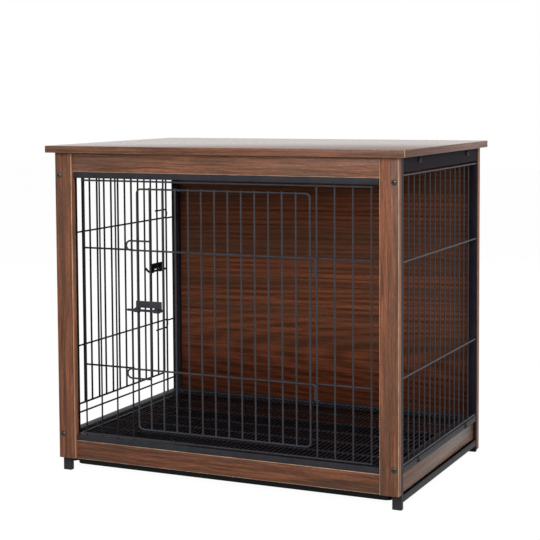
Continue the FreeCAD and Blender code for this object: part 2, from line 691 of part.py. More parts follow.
def hinge_curl(height):
    """Wire curled three quarters of a turn round the post, with the tail that ends it."""
    plane = val("MidPlane")
    thick = val("DoorWire")
    corner = Vector(0, plane / math.cos(math.radians(BEND_STEP / 2)), height)
    ring = [Vector(0, plane, height)]
    ring += [Rotation(UP, BEND_STEP * (step + 0.5)).multVec(corner) for step in range(270 // BEND_STEP)]
    ring.append(Vector(plane, 0, height))
    foot = Vector(plane, 0, height - thick / 2)
    tail = [foot, foot + UP * (val("HingeTail") + thick / 2)]
    return [bent_wire(ring, UP, thick), bent_wire(tail, OUT, thick)]


def middle_wire(height, rise):
    """Door's middle wire: a stop loop past one post and a hinge hook on the other."""
    thick = val("DoorWire")
    plane = val("MidPlane")
    past = val("DoorwayWidth") + val("LoopReach")
    turn = 2 * rise * val("LoopRadius")
    slant = val("HingeSlant")
    foot = height - val("HingeLeg")
    loop = [
        Vector(val("DoorwayWidth") - val("LoopReturn"), plane, height + turn),
        Vector(past, plane, height + turn),
        Vector(past, plane, height),
        Vector(val("DoorwayWidth") / 2, plane, height),
    ]
    hook = [
        Vector(slant, plane, height),
        Vector(0, plane, height - slant),
        Vector(0, plane, foot - thick / 2),
    ]
    path = stepped(loop, val("LoopRadius"))[:-1] + hook
    return [bent_wire(path, OUT, thick)] + hinge_curl(foot)


def door_shape():
    """Welded wire door, hinge post at the origin, leaf along +X and outside towards +Y."""
    near = val("DoorGap")
    far = val("DoorwayWidth") - near
    top = UP * val("DoorHeight")
    ring = val("RingPlane")
    start = Vector((near + far) / 2, ring, 0)
    halves = []
    for edge in (near, far):
        side = Vector(edge, ring, 0)
        path = stepped([start, side, side + top, start + top], val("DoorCorner"))
        halves.append(bent_wire(path, OUT, val("DoorWire")))
    rods = count("DoorRodCount")
    uprights = []
    for row in range(1, rods + 1):
        foot = Vector(near + (far - near) * row / (rods + 1), val("RodPlane"), 0)
        uprights.append(bent_wire([foot, foot + top], OUT, val("DoorRod")))
    mids = middle_wire(val("DoorMidHigh"), 1) + middle_wire(val("DoorMidLow"), -1)
    return halves[0].fuse(halves[1:] + uprights + mids).removeSplitter()


def bolt_shape():
    """Latch bolt: a rod with a tapered tip and a handle bent out and up."""
    thick = val("BoltDiameter")
    axis = Vector(0, val("BoltPlane"), val("BoltHeight"))
    tip = axis + ALONG * (val("DoorwayWidth") + val("BoltPast"))
    elbow = tip - ALONG * val("BoltLength")
    slope = math.radians(val("HandleSlope"))
    rise = Vector(0, math.cos(slope), math.sin(slope))
    path = stepped([tip, elbow, elbow + rise * val("HandleRise")], val("HandleBend"))
    path.insert(1, tip - ALONG * val("BoltTip"))
    return bent_wire(path, rise.cross(ALONG), thick, thick / 2)


def bracket_shape():
    """Latch bracket: a sheet across the door wires with a rolled knuckle at each end."""
    face = val("DoorFace")
    sheet = val("BracketThick")
    height = val("BoltHeight")
    axis = Vector(0, val("BoltPlane"), height)
    stop = val("DoorwayWidth") - val("BracketPostGap")
    start = stop - val("BracketLength")
    knuckle = val("KnuckleLength")
    slot = val("BracketSlot")
    plate = Part.makeBox(stop - start, sheet, val("BracketTall") - slot, Vector(start, face, height + slot))
    pieces = []
    for low in (start, stop - knuckle):
        roll = [axis + ALONG * low, axis + ALONG * (low + knuckle)]
        pieces.append(Part.makeBox(knuckle, sheet, slot, Vector(low, face, height)))
        pieces.append(bent_wire(roll, OUT, 2 * val("KnuckleOuter")))
    bore = val("BoltDiameter") + 2 * val("BoltClear")
    hollow = bent_wire([axis + ALONG * start, axis + ALONG * stop], OUT, bore)
    return plate.fuse(pieces).cut(hollow).removeSplitter()


# Doors with their latches: the same welded door twice, the side one a little higher
DOORS = {
    "front": (180, ("DoorwayWidth / 2", "FrontWirePlane", "DoorFloor")),
    "side": (90, ("-SideWirePlane", "SideMiddle - DoorwayWidth / 2", "DoorFloor + SideDoorRise")),
}
leaf = door_shape()
bracket = bracket_shape()
latch_bolt = bolt_shape()
for name, (turn, spot) in DOORS.items():
    for piece, shape in (("door", leaf), ("latch_bracket", bracket), ("latch_bolt", latch_bolt)):
        obj = feature(f"{name}_{piece}", shape.copy())
        keep(at(obj, Rotation(UP, turn), spot))

# Floor grate: a frame with cross bars on the bearers, and close wires on top of it
rim = val("GrateRim")
rim_height = val("GrateRimTop") - rim / 2
grate_side = val("GrateSide") - rim / 2
grate_front = val("GrateFront") + rim / 2
grate_rear = val("GrateRear") - rim / 2
rim_halves = []
for way in (1, -1):
    half = [
        Vector(0, grate_front, rim_height),
        Vector(way * grate_side, grate_front, rim_height),
        Vector(way * grate_side, grate_rear, rim_height),
        Vector(0, grate_rear, rim_height),
    ]
    rim_halves.append(feature(f"grate_rim_{'right' if way > 0 else 'left'}",
                              bent_wire(stepped(half, val("GrateCorner")), UP, rim)))
cross_count = count("GrateCrossCount")
cross_bars = [
    straight_wire(f"grate_cross_{row}", "x", "GrateCross",
                  "-GrateSide + GrateRim / 2", "GrateSide - GrateRim / 2",
                  (f"GrateFront + (GrateRear - GrateFront) * {row + 1} / {cross_count + 1}",
                   "GrateRimTop - GrateCross / 2"))
    for row in range(cross_count)
]
keep(fused("floor_grate_frame", rim_halves + cross_bars))
clear_half = val("GrateSide") - val("GrateRim") - val("GrateWire")
wires_each_way = int(clear_half // val("GratePitch"))
grate_wires = doc.addObject("Part::Compound", "floor_grate_wires")
grate_wires.Links = [
    straight_wire(f"grate_wire_{row + wires_each_way}", "y", "GrateWire", "GrateFront", "GrateRear",
                  (f"{row} * GratePitch", "GrateTop - GrateWire / 2"))
    for row in range(-wires_each_way, wires_each_way + 1)
]
keep(grate_wires)

# Waste tray: a shallow moulded tray that slides out to the front on the runners
tray = doc.addObject("PartDesign::Body", "waste_tray")
tray_ground = next(plane for plane in tray.Origin.OriginFeatures if plane.Role == "XY_Plane")
tray_outline = tray.newObject("Sketcher::SketchObject", "tray_outline")
tray_outline.AttachmentSupport = (tray_ground, "")
tray_outline.MapMode = "FlatFace"
tray_size = (2 * val("TraySide"), val("TrayRear") - val("TrayFront"))
tray_ends = [Vector(sx * tray_size[0] / 2, sy * tray_size[1] / 2, 0) for sx, sy in corners]
for index in range(4):
    tray_outline.addGeometry(Part.LineSegment(tray_ends[index], tray_ends[(index + 1) % 4]), False)
for index in range(4):
    tray_outline.addConstraint(Sketcher.Constraint("Coincident", index, 2, (index + 1) % 4, 1))
for index in (0, 2):
    tray_outline.addConstraint(Sketcher.Constraint("Horizontal", index))
for index in (1, 3):
    tray_outline.addConstraint(Sketcher.Constraint("Vertical", index))
tray_outline.addConstraint(Sketcher.Constraint("Symmetric", 0, 1, 1, 2, -1, 1))
wide_rule = tray_outline.addConstraint(Sketcher.Constraint("Distance", 0, tray_size[0]))
deep_rule = tray_outline.addConstraint(Sketcher.Constraint("Distance", 1, tray_size[1]))
tray_outline.setExpression(f"Constraints[{wide_rule}]", bound("2 * TraySide"))
tray_outline.setExpression(f"Constraints[{deep_rule}]", bound("TrayRear - TrayFront"))
tray_block = tray.newObject("PartDesign::Pad", "tray_block")
tray_block.Profile = tray_outline
tray_block.setExpression("Length", bound("TrayTop - TrayUnder"))
doc.recompute()
tray_height = val("TrayTop") - val("TrayUnder")
tray_corners = tray.newObject("PartDesign::Fillet", "tray_corners")
tray_corners.Base = (tray_block, [
    f"Edge{number}"
    for number, edge in enumerate(tray_block.Shape.Edges, start=1)
    if edge.BoundBox.ZLength > tray_height / 2
])
tray_corners.setExpression("Radius", bound("TrayCorner"))
doc.recompute()
tray_shell = tray.newObject("PartDesign::Thickness", "tray_shell")
tray_shell.Base = (tray_corners, [
    f"Face{number}"
    for number, face in enumerate(tray_corners.Shape.Faces, start=1)
    if face.BoundBox.ZMin > tray_height - 1e-6
])
tray_shell.setExpression("Value", bound("TrayWall"))
tray_shell.Reversed = True
tray.Tip = tray_shell
at(tray, Rotation(), ("0", "(TrayFront + TrayRear) / 2", "TrayUnder"))
keep(tray)


def screw(name, axis, outside, inside, spot):
    """Shank between two expressions along an axis, with a flat head past the outside one."""
    way = "-" if outside in ("StileFront", "SidePlateUnder", "-BodySide") else "+"
    shank_ends = (outside, inside) if way == "-" else (inside, outside)
    head = f"{outside} {way} ScrewHeadThick"
    head_ends = (head, outside) if way == "-" else (outside, head)
    shank = straight_wire(f"{name}_shank", axis, "ScrewDiameter", *shank_ends, spot)
    cap = straight_wire(f"{name}_head", axis, "ScrewHead", *head_ends, spot)
    return fused(name, [shank, cap])


def fasteners(name, pieces):
    """One sub-part that holds like fasteners as separate solids."""
    group = doc.addObject("Part::Compound", name)
    group.Links = pieces
    return keep(group)


fasteners("stile_screws", [
    screw(f"stile_screw_{side}_{name}", "y", "StileFront", "FrontLegFront + ScrewBite",
          (f"{SIGNS[side]} * LegMiddle", height))
    for side in SIDES
    for name, height in STILE_SCREWS.items()
])
fasteners("back_panel_screws", [
    screw(f"back_screw_{side}_{row}", "y", "BackRear", "BackFront - ScrewBite",
          (f"{SIGNS[side]} * LegMiddle", height))
    for side in SIDES
    for row, height in enumerate(BACK_ROWS)
])
fasteners("table_screws", [
    screw(f"table_screw_{side}_{line}", "z", "SidePlateUnder", "TableUnder + TableScrewBite",
          (f"{SIGNS[side]} * CleatMiddle", depth))
    for side in SIDES
    for line, depth in TABLE_SCREWS.items()
])
BOLT_ENDS = {"top": "SidePlateInner - ScrewBite", "floor": "BearerInner - NutThick - ScrewBite / 4"}
for level, height in SIDE_BOLTS.items():
    fasteners(f"side_{level}_bolts", [
        screw(f"side_{level}_bolt_{side}_{line}", "x",
              "BodySide" if side == "right" else "-BodySide",
              BOLT_ENDS[level] if side == "right" else f"-({BOLT_ENDS[level]})",
              (depth, height))
        for side in SIDES
        for line, depth in BOLT_LINES.items()
    ])
nuts = []
for side in SIDES:
    nut_span = SIDES[side](("BearerInner - NutThick", "BearerInner"))
    for line, depth in BOLT_LINES.items():
        spot = (depth, SIDE_BOLTS["floor"])
        blank = straight_wire(f"nut_{side}_{line}_blank", "x", "NutWide", *nut_span, spot)
        bore = hole(f"nut_{side}_{line}_bore", "x", *nut_span, spot)
        nuts.append(cut(f"nut_{side}_{line}", blank, [bore]))
fasteners("side_floor_nuts", nuts)

doc.recompute()

for obj in doc.Objects:
    if "Invalid" in obj.State or "Error" in obj.State:
        raise RuntimeError(f"{obj.Label} did not recompute: {obj.State}")
for obj in subparts:
    if obj.Shape.isNull() or not obj.Shape.isValid() or not obj.Shape.Solids:
        raise RuntimeError(f"{obj.Label} has no valid solid")

os.makedirs("parts", exist_ok=True)
for obj in subparts:
    obj.Shape.exportStep(f"parts/{obj.Label}.step")
    box = obj.Shape.BoundBox
    print(f"{obj.Label}: {len(obj.Shape.Solids)} solid(s), {obj.Shape.Volume / 1000:.1f} cm3, "
          f"x {box.XMin:.1f} to {box.XMax:.1f}, y {box.YMin:.1f} to {box.YMax:.1f}, "
          f"z {box.ZMin:.1f} to {box.ZMax:.1f}")
print(f"{len(subparts)} sub-parts")
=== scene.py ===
# %% [markdown]
# # A wooden dog crate that is also an end table
# The real crate is a welded black steel frame, closed with wire, and clad with walnut laminate boards.
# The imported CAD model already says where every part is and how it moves, so it is loaded first and never changed.
# Everything made below is a better looking stand-in for one of its parts, in the same place.

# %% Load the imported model
import math

import bmesh
import bpy
from mathutils import Matrix, Vector


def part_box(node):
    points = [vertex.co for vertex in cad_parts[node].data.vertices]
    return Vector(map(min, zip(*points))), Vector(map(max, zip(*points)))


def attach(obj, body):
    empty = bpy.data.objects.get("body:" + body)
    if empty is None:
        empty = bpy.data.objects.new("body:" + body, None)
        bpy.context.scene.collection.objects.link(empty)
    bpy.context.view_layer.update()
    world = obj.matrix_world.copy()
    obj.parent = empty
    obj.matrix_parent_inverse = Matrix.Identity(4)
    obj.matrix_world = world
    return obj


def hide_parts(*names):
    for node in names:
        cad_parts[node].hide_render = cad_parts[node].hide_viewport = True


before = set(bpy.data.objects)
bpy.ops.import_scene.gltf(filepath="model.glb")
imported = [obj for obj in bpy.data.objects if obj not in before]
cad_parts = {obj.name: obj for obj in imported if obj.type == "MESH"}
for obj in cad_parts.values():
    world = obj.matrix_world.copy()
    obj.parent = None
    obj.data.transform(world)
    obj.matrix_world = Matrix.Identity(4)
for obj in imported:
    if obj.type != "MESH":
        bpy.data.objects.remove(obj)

MM, TINY, WELD, CUT = 0.001, 1e-6, 1e-7, 1e-8
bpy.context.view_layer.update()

# %% [markdown]
# ## The camera
# The photograph was taken from the front right, a little above the table top, with a long lens.
# A camera could be aimed at a target object, but its fitted angles are known, so they are written down directly.
# The lens is shifted down because the horizon lies well above the middle of the picture.

# %% Camera
PICTURE_WIDE, LENS_PIXELS, SHIFT_PIXELS = 540, 1429.58, -76.0
SENSOR_WIDE = 36.0
CAMERA_PLACE = (1.3250, -2.8752, 0.8254)
CAMERA_TURN, CAMERA_DIP, CAMERA_ROLL = 24.831, 4.058, -0.337


def turn_by(degrees, axis):
    """A rotation about the axis named X, Y or Z."""
    return Matrix.Rotation(math.radians(degrees), 4, axis)


camera_data = bpy.data.cameras.new("camera")
camera_data.sensor_width = SENSOR_WIDE
camera_data.lens = SENSOR_WIDE * LENS_PIXELS / PICTURE_WIDE
camera_data.shift_y = SHIFT_PIXELS / PICTURE_WIDE
camera_data.clip_end = 50.0
camera = bpy.data.objects.new("camera", camera_data)
bpy.context.scene.collection.objects.link(camera)
aim = turn_by(CAMERA_TURN, "Z") @ turn_by(90.0 - CAMERA_DIP, "X")
camera.matrix_world = Matrix.Translation(CAMERA_PLACE) @ aim @ turn_by(CAMERA_ROLL, "Z")
bpy.context.scene.camera = camera
bpy.context.scene.view_settings.view_transform = "Standard"
print("lens of", round(camera_data.lens, 1), "mm")

# %% [markdown]
# ## The studio
# The crate stands on a white floor in front of white paper, under soft light from the front, the right and the rear.
# More light would burn the boards out, so the paper is white only where the camera, or a reflection, looks at it:
# the Light Path node tells those rays apart, and the light that reaches the crate stays at a plain level.
# Nodes are made in many places below, so two small helpers make a node and feed its inputs.

# %% Node helpers


def feed(tree, node, inputs):
    """Set a node's inputs, by name or number, to plain values, or link them to outputs of other nodes."""
    for name, value in inputs.items():
        if isinstance(value, bpy.types.NodeSocket):
            tree.links.new(value, node.inputs[name])
        else:
            node.inputs[name].default_value = value


def add_node(tree, kind, inputs, **settings):
    """A new shader node of some kind, with its settings chosen and its inputs fed."""
    made = tree.nodes.new("ShaderNode" + kind)
    for setting, choice in settings.items():
        setattr(made, setting, choice)
    feed(tree, made, inputs)
    return made


print("node helpers are ready")

# %% White surroundings
PAPER_LIGHT = 0.24


def seen_directly(tree):
    """1 for rays from the camera and for reflections, 0 for the light that falls on things."""
    path = add_node(tree, "LightPath", {})
    seen = path.outputs["Is Camera Ray"]
    for kind in ("Is Glossy Ray", "Is Transmission Ray"):
        seen = add_node(tree, "Math", {0: seen, 1: path.outputs[kind]}, operation="MAXIMUM").outputs[0]
    return seen


paper = bpy.data.worlds.new("white_paper")
paper.use_nodes = True
bpy.context.scene.world = paper
paper_tree = paper.node_tree
strength = add_node(paper_tree, "MapRange", {
    "Value": seen_directly(paper_tree), "To Min": PAPER_LIGHT, "To Max": 1.0})
feed(paper_tree, paper_tree.nodes["Background"], {"Color": (1, 1, 1, 1), "Strength": strength.outputs["Result"]})
print("paper gives", PAPER_LIGHT, "of white as light")

# %% Floor
FLOOR_HALF, FLOOR_DROP = 12.0, 0.4 * MM
FLOOR_GREY, FLOOR_GLOW, GLOW_SHARE = (0.6, 0.6, 0.6, 1), 1.08, 0.9
floor_bm = bmesh.new()
bmesh.ops.create_grid(floor_bm, x_segments=1, y_segments=1, size=FLOOR_HALF,
                      matrix=Matrix.Translation((0, 0, -FLOOR_DROP)))
floor_mesh = bpy.data.meshes.new("studio_floor")
floor_bm.to_mesh(floor_mesh)
floor_bm.free()
studio_floor = bpy.data.objects.new("studio_floor", floor_mesh)
bpy.context.scene.collection.objects.link(studio_floor)

floor_white = bpy.data.materials.new("floor_white")
floor_white.use_nodes = True
floor_tree = floor_white.node_tree
floor_shader = floor_tree.nodes["Principled BSDF"]
feed(floor_tree, floor_shader, {"Base Color": FLOOR_GREY, "Roughness": 1.0, "Specular IOR Level": 0.0})
glow = add_node(floor_tree, "Emission", {"Strength": FLOOR_GLOW})
share = add_node(floor_tree, "Math", {0: seen_directly(floor_tree), 1: GLOW_SHARE}, operation="MULTIPLY")
blend = add_node(floor_tree, "MixShader", {0: share.outputs[0], 1: floor_shader.outputs[0], 2: glow.outputs[0]})
feed(floor_tree, floor_tree.nodes["Material Output"], {"Surface": blend.outputs[0]})
floor_mesh.materials.append(floor_white)
print("floor of", [round(side, 1) for side in studio_floor.dimensions])

# %% Lamps


def soft_lamp(name, place, target, wide, watts, mirrored=False):
    """A square soft box at place, turned to target; only a mirrored one shows in reflections."""
    lamp = bpy.data.lights.new(name, "AREA")
    lamp.shape = "SQUARE"
    lamp.size = wide
    lamp.energy = watts
    holder = bpy.data.objects.new(name, lamp)
    holder.location = place
    holder.rotation_euler = (Vector(target) - Vector(place)).to_track_quat("-Z", "Y").to_euler()
    holder.visible_camera = False
    holder.visible_glossy = mirrored
    bpy.context.scene.collection.objects.link(holder)


soft_lamp("front_softbox", (0.45, -2.4, 1.4), (0, -0.2, 0.4), 1.3, 49, mirrored=True)
soft_lamp("side_softbox", (3.4, -0.9, 1.8), (0.2, 0, 0.35), 1.6, 38, mirrored=True)
soft_lamp("rear_softbox", (-1.5, 3.0, 1.6), (0, 0.2, 0.35), 1.6, 42)
print("lamps:", [item.name for item in bpy.data.lights])

# %% [markdown]
# ## Finishes
# A finish is a Principled shader with a little noise in its colour, its roughness and its bump, because no real
# board or coat of paint is perfectly even. The noise is read in Object coordinates, which are metres here,
# so a stretch of 100 gives marks of about a hundredth of a metre.

# %% Helpers for finishes


def new_finish(name, colour, roughness, metallic=0.0):
    """A material, its node tree and its shader."""
    finish = bpy.data.materials.new(name)
    finish.use_nodes = True
    tree = finish.node_tree
    shader = tree.nodes["Principled BSDF"]
    feed(tree, shader, {"Base Color": (*colour, 1), "Roughness": roughness, "Metallic": metallic})
    return finish, tree, shader


def marks(tree, stretch, detail=3.0, place=(0, 0, 0), rough=0.55, source=None, output="Fac"):
    """Noise with stretch marks per metre along each axis, read in Object coordinates or from a source."""
    if source is None:
        source = add_node(tree, "TexCoord", {}).outputs["Object"]
    scale = add_node(tree, "Mapping", {"Vector": source, "Location": place, "Scale": stretch})
    noise = add_node(tree, "TexNoise", {
        "Vector": scale.outputs["Vector"], "Scale": 1.0, "Detail": detail, "Roughness": rough})
    return noise.outputs[output]


print("helpers for a finish and its noise are ready")

# %% Helpers for colour and bump


def spread(tree, value, low, high, to_low=0.0, to_high=1.0):
    """Stretch the part of value between low and high over to_low to to_high."""
    node = add_node(tree, "MapRange", {
        "Value": value, "From Min": low, "From Max": high, "To Min": to_low, "To Max": to_high})
    return node.outputs["Result"]


def mixed(tree, factor, first, second, how="MIX"):
    """Two colours, or colour sockets, mixed by a factor."""
    first, second = ((*colour, 1) if isinstance(colour, tuple) else colour for colour in (first, second))
    return add_node(tree, "Mix", {0: factor, 6: first, 7: second}, data_type="RGBA", blend_type=how).outputs[2]


def raised(tree, shader, height, strength, distance):
    """Bump the surface by a height."""
    bump = add_node(tree, "Bump", {"Height": height, "Strength": strength, "Distance": distance})
    feed(tree, shader, {"Normal": bump.outputs["Normal"]})


print("helpers for colour and bump are ready")

# %% [markdown]
# ### Walnut laminate
# The boards are faced with a printed walnut. Its growth lines wander, so the coordinates are first pushed sideways
# by a slow noise; every layer then reads the pushed ones, so lines, fibres and grey streaks wander together as they
# do in a tree. The back looks sawn nearly flat through the rings, which gives nested arches: a Wave texture of rings
# round a slightly tilted axis makes just that. Low down the back is painted darker and redder, a painted shade at its
# foot.
# A picture of veneer would be an image texture, which cannot be used here.

# %% Grain helpers
X, Y, Z = 0, 1, 2
WANDER_ALONG, WANDER_ACROSS, NOISE_GAIN = 5, 14, 3
WAVE_RADIANS = 20


def by_grain(along, with_it, across):
    """One number for the axis that the grain runs along, and another for the two across it."""
    return [with_it if axis == along else across for axis in (X, Y, Z)]


def wandering(tree, along, place, reach):
    """Object coordinates pushed across the grain by up to about reach millimetres."""
    where = add_node(tree, "TexCoord", {}).outputs["Object"]
    noise = marks(tree, by_grain(along, WANDER_ALONG, WANDER_ACROSS), 2.0, place, 0.5, where, "Color")
    most = by_grain(along, 0.0, reach * MM * NOISE_GAIN)
    return add_node(tree, "VectorMath", {0: noise, 1: most, 2: where}, operation="MULTIPLY_ADD").outputs[0]


def ring_lines(tree, source, centre, tilt, spacing):
    """Growth rings, spacing millimetres apart, round a line through centre that leaves X by tilt degrees."""
    turn = Matrix.Rotation(math.radians(tilt), 3, "Z")
    trunk = add_node(tree, "Mapping", {
        "Vector": source, "Rotation": (0, 0, math.radians(tilt)), "Location": -(turn @ Vector(centre))})
    scale = math.tau / WAVE_RADIANS / (spacing * MM)
    rings = add_node(tree, "TexWave", {"Vector": trunk.outputs["Vector"], "Scale": scale},
                     wave_type="RINGS", rings_direction="X")
    return rings.outputs["Fac"]


print("grain helpers are ready")

# %% Walnut
WARM_WOOD = (0.262, 0.112, 0.066)
DARK_WOOD = (0.098, 0.045, 0.028)
GREY_WOOD = (0.098, 0.061, 0.043)
LINE_RANGE, BAND_RANGE = (0.39, 0.63), (0.46, 0.62)
FIBRE_RANGE, FIBRE_TONE = (0.32, 0.68), (1.25, 0.75)
PORES, PORE_RANGE, PORE_TONE = (85, 900), (0.3, 0.7), (1.22, 0.78)
RING_SHARE = 0.14
# How much the painted shade at a board's foot darkens and reddens its colour.
FOOT_SHADE = (0.50, 0.41, 0.37)


def walnut(name, along, place, lines=(4, 170), bands=(1.6, 45), tint=(1, 1, 1), grey=0.6, wander=4.0, gloss=0.38,
           shine=0.12, fibre=(12, 620), rings=None, foot_shade=None):
    """Laminate whose grain runs along X, Y or Z. Lines, bands and fibre give marks per metre along and across it,
    rings what ring_lines needs, and the last argument the heights in metres between which a painted shade at the foot
    fades out."""
    finish, tree, shader = new_finish(name, WARM_WOOD, gloss)
    pushed = wandering(tree, along, place, wander)

    def grain(scale, detail, rough=0.55):
        return marks(tree, by_grain(along, *scale), detail, place, rough, pushed)

    growth = grain(lines, detail=5, rough=0.68)
    if rings:
        growth = mixed(tree, RING_SHARE, growth, ring_lines(tree, pushed, *rings))
    figure = grain(bands, detail=4, rough=0.6)
    fibres = grain(fibre, detail=3, rough=0.65)
    pores = grain(PORES, detail=2)
    warm, dark, dull = (tuple(part * amount for part, amount in zip(wood, tint))
                        for wood in (WARM_WOOD, DARK_WOOD, GREY_WOOD))
    colour = mixed(tree, spread(tree, growth, *LINE_RANGE), warm, dark)
    colour = mixed(tree, spread(tree, figure, *BAND_RANGE, 0.0, grey), colour, dull)
    colour = mixed(tree, 1.0, colour, spread(tree, fibres, *FIBRE_RANGE, *FIBRE_TONE), "MULTIPLY")
    colour = mixed(tree, 1.0, colour, spread(tree, pores, *PORE_RANGE, *PORE_TONE), "MULTIPLY")
    # Towards the foot the colour is painted darker and redder: painted shade low on the board.
    if foot_shade:
        height = add_node(tree, "SeparateXYZ", {0: pushed}).outputs["Z"]
        shaded_foot = mixed(tree, 1.0, colour, FOOT_SHADE, "MULTIPLY")
        colour = mixed(tree, spread(tree, height, *foot_shade), shaded_foot, colour)
    roughness = spread(tree, pores, *PORE_RANGE, gloss - 0.05, gloss + 0.06)
    feed(tree, shader, {"Base Color": colour, "Roughness": roughness, "Specular IOR Level": shine})
    raised(tree, shader, pores, strength=0.15, distance=0.0002)
    return finish


print("wood colours:", WARM_WOOD, DARK_WOOD, GREY_WOOD)

# %% Walnut finishes
walnut_upright = walnut("walnut_upright", Z, (0.31, 0.17, 0.4), bands=(2.2, 48), tint=(0.95, 0.84, 0.76), grey=0.8)
walnut_across = walnut("walnut_across", X, (0.7, 0.23, 0.11), lines=(6, 230), bands=(3, 60))
# The bottom rail's walnut is the top rail's made darker: painted shade low on the front.
walnut_sill_shaded = walnut("walnut_sill_shaded", X, (0.7, 0.23, 0.11), lines=(6, 230), bands=(3, 60), tint=(0.74, 0.66, 0.60))
walnut_table = walnut("walnut_table", X, (0.2, 0.6, 0.37), lines=(4, 200), tint=(1.1, 1.05, 0.95), grey=0.75,
                      gloss=0.18, shine=0.22)
walnut_table_front = walnut("walnut_table_front", X, (0.5, 0.2, 0.17), lines=(5, 260), tint=(0.76, 0.79, 0.82),
                            grey=0.8, wander=1.5)
# The table's side faces are painted lighter and greyer than its front: painted sheen on the side.
walnut_table_side_sheen = walnut("walnut_table_side_sheen", Y, (0.4, 0.1, 0.53), lines=(4, 260), tint=(1.25, 1.1, 1.05),
                           grey=0.8, wander=1.5, shine=0.14)
# The back's tint is darker and redder than the other boards': painted interior shade and the painted red of light
# bounced inside.
walnut_back = walnut("walnut_back", X, (0.5, 0.9, 0.2), lines=(1.1, 120), bands=(0.8, 24), tint=(0.80, 0.61, 0.50),
                     wander=2.2, gloss=0.45, shine=0.04, fibre=(3, 420), rings=((0.10, 0.345, 0.20), 5.0, 11.0),
                     foot_shade=(0.13, 0.28))
# The edging is painted much lighter and greyer than the facing: painted light and sheen on the boards' side faces.
walnut_edging_lit = walnut("walnut_edging_lit", Z, (0.9, 0.3, 0.8), tint=(1.8, 1.68, 1.5), grey=0.7, gloss=0.45, shine=0.06)
# The kick boards' walnut is painted greyer and lighter: partly its own tone, partly painted sheen on the side faces.
walnut_kick_sheen = walnut("walnut_kick_sheen", Y, (0.13, 0.5, 0.71), lines=(4, 210), tint=(0.95, 0.96, 0.94), grey=0.95,
                     gloss=0.34, shine=0.22)
print("walnut finishes:", sum(item.name.startswith("walnut") for item in bpy.data.materials))

# %% [markdown]
# ### Edge seam and painted highlight
# Where the facing meets the edging strip, the eased corner is painted a thin pale line: partly the board's core and
# glue, partly a painted highlight along the edge.
# It could be drawn in the wood's texture, but it belongs to the eased corner, so those faces get their own finish.

# %% Edge seam
# The pale colour is partly the board's core line, partly a painted highlight.
CORE_DARK, PALE_CORE_AND_HIGHLIGHT = (0.28, 0.165, 0.105), (0.50, 0.33, 0.215)
seam_and_highlight, seam_tree, seam_shader = new_finish("seam_and_highlight", PALE_CORE_AND_HIGHLIGHT, 0.5)
seam_patches = marks(seam_tree, (35, 35, 35), 4)
seam_and_highlight_colour = mixed(seam_tree, spread(seam_tree, seam_patches, 0.36, 0.64), CORE_DARK, PALE_CORE_AND_HIGHLIGHT)
seam_gloss = spread(seam_tree, seam_patches, 0.3, 0.7, 0.42, 0.58)
feed(seam_tree, seam_shader, {"Base Color": seam_and_highlight_colour, "Roughness": seam_gloss})
raised(seam_tree, seam_shader, marks(seam_tree, (900, 900, 900), 2), strength=0.1, distance=0.0001)
print("edge seam ready")

# %% [markdown]
# ### Powder coat, plastics and screw steel
# The frame and the wires are powder coated: satin black with the slight orange peel of a melted powder. It is one
# black in several depths of painted light and shade: the tube has the plain coat, the wires a lighter one as a
# painted highlight, the top plates, rear legs, wires seen against white and the grate darker ones as painted shade,
# and the grate's rim a lighter one as a painted highlight. The waste tray is polished black plastic, glossiest on its
# floor, the foot caps are dull, and the screws are dark zinc, a real metal.

# %% Black finishes and zinc


def moulded(name, dark, light, gloss, gloss_range, peel, peel_height, metallic=0.0, shine=0.5):
    """A finish with cloudy colour and gloss, and a fine even texture."""
    finish, tree, shader = new_finish(name, light, gloss, metallic)
    clouds = marks(tree, (45, 45, 45), 4)
    colour = mixed(tree, spread(tree, clouds, 0.34, 0.66), dark, light)
    roughness = spread(tree, clouds, 0.3, 0.7, gloss - gloss_range, gloss + gloss_range)
    feed(tree, shader, {"Base Color": colour, "Roughness": roughness, "Specular IOR Level": shine})
    raised(tree, shader, marks(tree, (peel, peel, peel), 2), peel_height, distance=0.0002)
    return finish


def coated(name, dark, light, gloss, peel_height, shine):
    """A powder coat, with an orange peel of about a millimetre."""
    return moulded(name, dark, light, gloss, 0.05, 900, peel_height, shine=shine)


powder_coat = coated("powder_coat", (0.021, 0.020, 0.0245), (0.029, 0.028, 0.034), 0.50, 0.10, 0.10)
# Lighter and darker copies of the plain coat: painted highlight on the wires and the grate's rim, painted shade on
# the plates, rear legs, silhouetted wires and grate.
lit_wire_coat = coated("lit_wire_coat", (0.027, 0.0265, 0.032), (0.038, 0.037, 0.044), 0.40, 0.08, 0.16)
shaded_plate_coat = coated("shaded_plate_coat", (0.014, 0.0105, 0.0155), (0.020, 0.0165, 0.022), 0.55, 0.10, 0.02)
deep_shade_coat = coated("deep_shade_coat", (0.007, 0.007, 0.008), (0.012, 0.012, 0.014), 0.45, 0.08, 0.10)
rim_highlight_coat = coated("rim_highlight_coat", (0.024, 0.0235, 0.030), (0.034, 0.033, 0.042), 0.30, 0.06, 0.35)
grate_shade_coat = coated("grate_shade_coat", (0.007, 0.0065, 0.009), (0.012, 0.011, 0.0155), 0.45, 0.08, 0.12)
TRAY_DARK, TRAY_PALE = (0.003, 0.003, 0.0035), (0.006, 0.006, 0.0065)
tray_black = moulded("tray_black", TRAY_DARK, TRAY_PALE, 0.2, 0.04, 260, 0.02, shine=0.10)
tray_floor = moulded("tray_floor", TRAY_DARK, TRAY_PALE, 0.14, 0.04, 260, 0.02, shine=0.40)
cap_black = moulded("cap_black", (0.016, 0.016, 0.018), (0.026, 0.026, 0.029), 0.55, 0.06, 1500, 0.12, shine=0.2)
